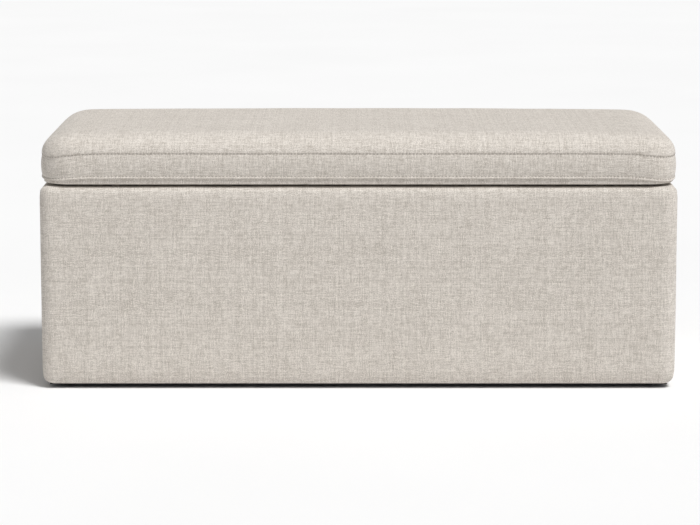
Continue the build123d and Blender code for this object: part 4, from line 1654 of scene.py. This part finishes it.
    def pleat(self, points: np.ndarray) -> np.ndarray:
        """How deep each point lies in the slanting creases at the two front corners, 0 to 1."""
        depth = np.zeros(len(points))
        for side, start, end in self.pleats:
            x = side * points[:, 0] - (self.half_x - self.corner_radius)
            y = points[:, 1] - (self.front_y + self.corner_radius)
            turn = np.degrees(np.arctan2(y, x))
            fall = (self.seam_z - points[:, 2]) / (self.seam_z - self.lip_z)
            line = start + (end - start) * fall
            off = np.radians(turn - line) * self.corner_radius
            first, last = self.pleat_span
            inside = (fall > first) & (fall < last) & (x > 0) & (y < 0)
            sunk = np.exp(-((off / self.pleat_width) ** 2))
            depth += sunk * np.sin(np.clip(fall, 0, 1) * math.pi) * inside
        return depth

    def split(self, piece: bpy.types.Object) -> bpy.types.Object:
        """Cuts the form along its seam, leaving the border.

        Args:
            piece: the sewn form, which keeps the border.

        Returns:
            The top panel.
        """
        chosen = [index < self.top_faces for index in range(len(piece.data.polygons))]
        select_only(piece)
        bpy.ops.object.mode_set(mode="EDIT")
        bpy.ops.mesh.select_mode(type="FACE")
        bpy.ops.mesh.select_all(action="DESELECT")
        bpy.ops.object.mode_set(mode="OBJECT")
        piece.data.polygons.foreach_set("select", chosen)
        bpy.ops.object.mode_set(mode="EDIT")
        bpy.ops.mesh.separate(type="SELECTED")
        bpy.ops.object.mode_set(mode="OBJECT")
        top = next(o for o in bpy.context.selected_objects if o != piece)
        top.name = "lid_top_panel_cloth"
        return top

    def cover(self) -> None:
        """The top panel and the border, from one simulated form."""
        border = self.form()
        turned_in = np.arange(self.ring_of(self.stitch_row)[0], len(border.data.vertices))
        puff(border, np.concatenate([self.rim_order(), turned_in]), self.puff_pressure,
             self.most_puff)
        self.sew(border)
        self.seam_line = positions(border)[self.rim_order()]
        self.lip_line = positions(border)[self.ring_of(self.stitch_row)]
        self.wadding(border)
        top = self.split(border)
        for part in (top, border):
            apply_modifier(part, "SUBSURF", levels=1, render_levels=1)
        self.hand_over(top, "lid", "cover_fabric", self.wardrobe.linen, "lid_top_panel")
        self.hand_over(border, "lid", "cover_fabric", self.wardrobe.linen, "lid_border")

    def wadding(self, form: bpy.types.Object) -> None:
        """The padding just under the cloth, closed below where it lies on the board."""
        board_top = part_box("lid_board")[1].z
        piece = form.copy()
        piece.data = form.data.copy()
        piece.name = "lid_wadding_pad"
        bpy.context.scene.collection.objects.link(piece)
        normals = np.zeros(len(piece.data.vertices) * 3)
        piece.data.vertices.foreach_get("normal", normals)
        points = positions(piece) - normals.reshape(-1, 3) * self.thickness * 1.6
        keep = int(self.ring_of(self.stitch_row)[-1]) + 1
        lowest = self.ring_of(self.stitch_row)
        points[lowest, 2] = board_top + 0.1 * MM
        points[:, 2] = np.maximum(points[:, 2], board_top + 0.1 * MM)
        move_points(piece, points)
        work = bmesh.new()
        work.from_mesh(piece.data)
        work.verts.ensure_lookup_table()
        bmesh.ops.delete(work, geom=[v for v in work.verts if v.index >= keep], context="VERTS")
        bmesh.ops.holes_fill(work, edges=[e for e in work.edges if e.is_boundary], sides=0)
        bmesh.ops.recalc_face_normals(work, faces=work.faces)
        work.to_mesh(piece.data)
        work.free()
        self.hand_over(piece, "lid", "wadding", self.wardrobe.wadding, "lid_wadding")

    def lower_band(self) -> bpy.types.Object:
        """The pulled-in strip under the border, turned in over the board and under the lid."""
        low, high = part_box("lid_lower_band")
        t = self.thickness - 0.1 * MM
        radius = self.corner_radius - 4 * MM
        plan = Plan(high.x, low.y, high.y, radius, radius, self.step, tuple(np.linspace(0.2, 1.0, 5)))
        top = high.z + 4 * MM
        hem, turn = self.band_hem, self.band_turn
        outside = [(hem, low.z)] + straight_path((hem, low.z), (turn, low.z), 4)
        outside += round_path((turn, low.z), (0, low.z), (0, low.z + turn), 3)
        outside += straight_path((0, low.z + turn), (0, top), 4) + [(0, top)]
        inside = [(t, top)] + straight_path((t, top), (t, low.z + t), 3)
        inside += [(t, low.z + t), (hem, low.z + t)]
        piece = sleeve(plan, outside + inside, True).build("lid_lower_band_cloth")
        points = positions(piece)
        normal = np.tile(plan.ring(0.0)[:, 2:], (len(outside + inside), 1))
        wave = waves(points, self.band_wave) - 0.2 * MM
        points[:, :2] += normal * wave[:, None]
        move_points(piece, points)
        plan.lengths()[-1]
        return self.hand_over(piece, "lid", "cover_fabric", self.wardrobe.linen, "lid_lower_band")

    def foam(self) -> bpy.types.Object:
        """The cushion's foam block, a rounded slab on the board."""
        low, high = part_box("lid_foam")
        bpy.ops.object.select_all(action="DESELECT")
        bpy.ops.mesh.primitive_cube_add(size=1.0, location=(low + high) / 2, scale=high - low)
        piece = bpy.context.object
        piece.name = "lid_foam_block"
        bpy.ops.object.transform_apply(location=True, rotation=False, scale=True)
        points = positions(piece)
        upright = [abs(points[a][2] - points[b][2]) > (high.z - low.z) / 2
                   for a, b in (e.vertices for e in piece.data.edges)]
        self.round_edges(piece, upright, self.corner_radius - self.foam_inset, 8)
        points = positions(piece)
        upper = [min(points[a][2], points[b][2]) > high.z - 0.1 * MM
                 for a, b in (e.vertices for e in piece.data.edges)]
        self.round_edges(piece, upper, self.foam_crown, 7)
        bpy.ops.object.shade_smooth_by_angle(angle=math.radians(35))
        return self.hand_over(piece, "lid", "foam", self.wardrobe.foam, "lid_foam")

    def round_edges(self, piece: bpy.types.Object, chosen: list[bool], radius: float, steps: int) -> None:
        """Bevels the chosen edges of a piece to a radius."""
        select_only(piece)
        bpy.ops.object.mode_set(mode="EDIT")
        bpy.ops.mesh.select_mode(type="EDGE")
        bpy.ops.mesh.select_all(action="DESELECT")
        bpy.ops.object.mode_set(mode="OBJECT")
        piece.data.edges.foreach_set("select", chosen)
        bpy.ops.object.mode_set(mode="EDIT")
        bpy.ops.mesh.bevel(offset=radius, segments=steps)
        bpy.ops.object.mode_set(mode="OBJECT")

    def make(self) -> None:
        """Builds and dresses everything on the lid."""
        self.cover()
        self.lower_band()
        self.foam()
        Topstitch(self.nodes, self.wardrobe, "seam_topstitch", self.seam_line, self.stitch_pitch,
                  lift=self.seam_depth - 0.25 * MM).make()
        Topstitch(self.nodes, self.wardrobe, "lip_topstitch", self.lip_line, self.stitch_pitch,
                  lift=0.8 * MM).make()
        under = FlatCloth(self.nodes, self.wardrobe, "lid_lining", "lid_lining_cloth", "lid",
                          "lining_fabric", sag=-1.4 * MM, wrinkle=0.25 * MM,
                          staples="lid_lining_staples",
                          keep_flat=("left_stay_lid_bracket", "right_stay_lid_bracket"))
        under.make(self.wardrobe.lining, ["lid_lining_staples"])


@dataclass
class Topstitch(Maker):
    """A row of thread stitches along a closed line on the cushion.

    Attributes:
        name: the piece's name.
        line: points round the cushion, in order.
        pitch: distance from stitch to stitch.
        lift: how far the thread stands out from the line.
        thread: the thread's thickness.
        share: length of a stitch as a share of the pitch.
        sink: how far a stitch's ends sink in, as a share of its thickness.
        taper: how much thinner its ends are.
    """

    name: str
    line: np.ndarray
    pitch: float
    lift: float
    thread: float = 1.15 * MM
    share: float = 0.56
    sink: float = 0.7
    taper: float = 0.35

    def pattern(self) -> bpy.types.Object:
        """One stitch along X at the origin, its ends dipping into the cloth."""
        bpy.ops.object.select_all(action="DESELECT")
        bpy.ops.mesh.primitive_cylinder_add(
            vertices=6, radius=self.thread / 2, depth=self.pitch * self.share, rotation=(0, math.pi / 2, 0))
        piece = bpy.context.object
        bpy.ops.object.transform_apply(location=False, rotation=True, scale=False)
        bpy.ops.object.mode_set(mode="EDIT")
        bpy.ops.mesh.select_all(action="SELECT")
        reach = self.pitch * self.share / 2
        for cut in (-0.6, 0.0, 0.6):
            bpy.ops.mesh.select_all(action="SELECT")
            bpy.ops.mesh.bisect(plane_co=(cut * reach, 0, 0), plane_no=(1, 0, 0))
        bpy.ops.object.mode_set(mode="OBJECT")
        points = positions(piece)
        bend = np.abs(points[:, 0]) / reach
        points[:, 2] -= bend**2 * self.thread * self.sink
        points[:, 1:] *= (1 - self.taper * bend**2)[:, None]
        move_points(piece, points)
        return piece

    def make(self) -> bpy.types.Object:
        """Lays copies of the stitch along the line, as one piece."""
        pattern = self.pattern()
        shape = positions(pattern)
        faces = [tuple(p.vertices) for p in pattern.data.polygons]
        bpy.data.objects.remove(pattern)
        closed = np.vstack([self.line, self.line[:1]])
        steps = np.linalg.norm(np.diff(closed, axis=0), axis=1)
        along = np.concatenate([[0], np.cumsum(steps)])
        count = int(round(along[-1] / self.pitch))
        middle = np.array([0.0, self.line[:, 1].mean(), self.line[:, 2].mean()])
        points, all_faces = [], []
        for i in range(count):
            here, ahead = (i + 0.5) * along[-1] / count, (i + 0.5) * along[-1] / count + 1 * MM
            centre = np.array([np.interp(here, along, closed[:, k]) for k in range(3)])
            forward = np.array([np.interp(ahead % along[-1], along, closed[:, k]) for k in range(3)]) - centre
            forward /= np.linalg.norm(forward)
            out = np.array([forward[1], -forward[0], 0.0])
            if out @ (centre - middle) < 0:
                out = -out
            out /= np.linalg.norm(out)
            up = np.cross(forward, out)
            basis = np.stack([forward, up, out])
            points.append(shape @ basis + centre + out * self.lift)
            all_faces += [tuple(k + i * len(shape) for k in f) for f in faces]
        mesh = bpy.data.meshes.new(self.name)
        mesh.from_pydata(np.vstack(points).tolist(), [], all_faces)
        mesh.polygons.foreach_set("use_smooth", [True] * len(mesh.polygons))
        piece = bpy.data.objects.new(self.name, mesh)
        bpy.context.scene.collection.objects.link(piece)
        select_only(piece)
        bpy.ops.object.mode_set(mode="EDIT")
        bpy.ops.mesh.select_all(action="SELECT")
        bpy.ops.mesh.normals_make_consistent(inside=False)
        bpy.ops.object.mode_set(mode="OBJECT")
        return self.hand_over(piece, "lid", "cover_fabric", self.wardrobe.thread)


# ---- boards and fittings ------------------------------------------------------------------------
@dataclass
class Fittings(Maker):
    """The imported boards, battens, hinges, stays and fixings, which keep their shapes."""

    def finish_of(self, node: str) -> bpy.types.Material:
        """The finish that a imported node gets, by what it is."""
        w = self.wardrobe
        if node.endswith("screws"):
            return w.screw_steel
        if node.endswith("staples"):
            return w.staple_wire
        if "batten" in node or "gusset" in node:
            return w.softwood_x if node.startswith(("front", "back")) else w.softwood_y
        if "washers" in node:
            return w.nylon
        if "hinge" in node:
            return w.zinc
        if "stay" in node:
            return w.stay_steel
        if node == "glides":
            return w.glide_plastic
        if node == "rim_bumpers":
            return w.felt
        return w.chipboard

    def make(self) -> None:
        """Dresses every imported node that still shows."""
        for name, node in sorted(self.nodes.items()):
            if not node.hide_render:
                dress(node, self.finish_of(name))


# ---- studio -------------------------------------------------------------------------------------------
@dataclass(frozen=True)
class Studio:
    """A pale floor, soft light and the camera."""

    lens: float = 134.9
    distance: float = 4.05
    height: float = 0.8885
    pitch: float = 8.08
    shift_up: float = -0.1
    aside: float = -0.0135
    floor_size: float = 60.0
    paper_low: Colour = tint(0.86, 0.86, 0.86)
    paper_high: Colour = tint(0.90, 0.90, 0.90)
    key_rise: float = 62.0
    key_turn: float = 48.0
    key_power: float = 2.85
    key_width: float = 20.0
    room_light: float = 0.32

    def floor(self) -> None:
        """A wide pale floor with a faint unevenness."""
        bpy.ops.object.select_all(action="DESELECT")
        bpy.ops.mesh.primitive_plane_add(size=self.floor_size, location=(0, 0, 0))
        floor = bpy.context.object
        floor.name = "studio_floor"
        g = Graph("studio_paper")
        cloud = g.noise(g.object_place(), 1.5, 2.0)
        colour = g.mix(cloud, self.paper_low, self.paper_high)
        dress(floor, g.finish(Base_Color=colour, Roughness=0.9))
        floor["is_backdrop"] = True

    def sun(self, name: str, rise: float, turn: float, power: float, width: float) -> None:
        """A far, soft light.

        Args:
            name: the light's name.
            rise: its height above the horizon, in degrees.
            turn: how far it stands to the right of the front, in degrees.
            power: its strength.
            width: how wide it looks, in degrees, which softens its shadows.
        """
        data = bpy.data.lights.new(name, "SUN")
        data.energy, data.angle = power, math.radians(width)
        lamp = bpy.data.objects.new(name, data)
        up, side = math.radians(rise), math.radians(turn)
        place = Vector((math.sin(side) * math.cos(up), -math.cos(side) * math.cos(up), math.sin(up)))
        lamp.location = place * 4
        lamp.rotation_euler = place.to_track_quat("Z", "Y").to_euler()
        bpy.context.scene.collection.objects.link(lamp)

    def camera(self) -> None:
        """The camera, a little above the lid and nearly square on."""
        data = bpy.data.cameras.new("camera")
        data.lens, data.sensor_width, data.shift_y = self.lens, 36.0, self.shift_up
        camera = bpy.data.objects.new("camera", data)
        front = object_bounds()[0].y
        camera.location = (self.aside, front - self.distance, self.height)
        camera.rotation_euler = (math.radians(90 - self.pitch), 0, 0)
        bpy.context.scene.collection.objects.link(camera)
        bpy.context.scene.camera = camera

    def make(self) -> None:
        """Sets up the studio."""
        self.floor()
        self.sun("key", self.key_rise, self.key_turn, self.key_power, self.key_width)
        world = bpy.data.worlds.new("studio")
        world.use_nodes = True
        background = world.node_tree.nodes["Background"]
        background.inputs["Color"].default_value = tint(1.0, 1.0, 1.0)
        background.inputs["Strength"].default_value = self.room_light
        bpy.context.scene.world = world
        bpy.context.scene.view_settings.view_transform = "Standard"
        self.camera()


def main() -> None:
    """Builds the ottoman's looks in order."""
    logging.basicConfig(level=logging.INFO, format="%(name)s: %(message)s")
    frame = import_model()
    wardrobe = Wardrobe()
    nodes = frame["nodes"]
    BoxCover(nodes, wardrobe).make()
    LidCushion(nodes, wardrobe).make()
    Fittings(nodes, wardrobe).make()
    Studio().make()


if __name__ == "__main__":
    main()
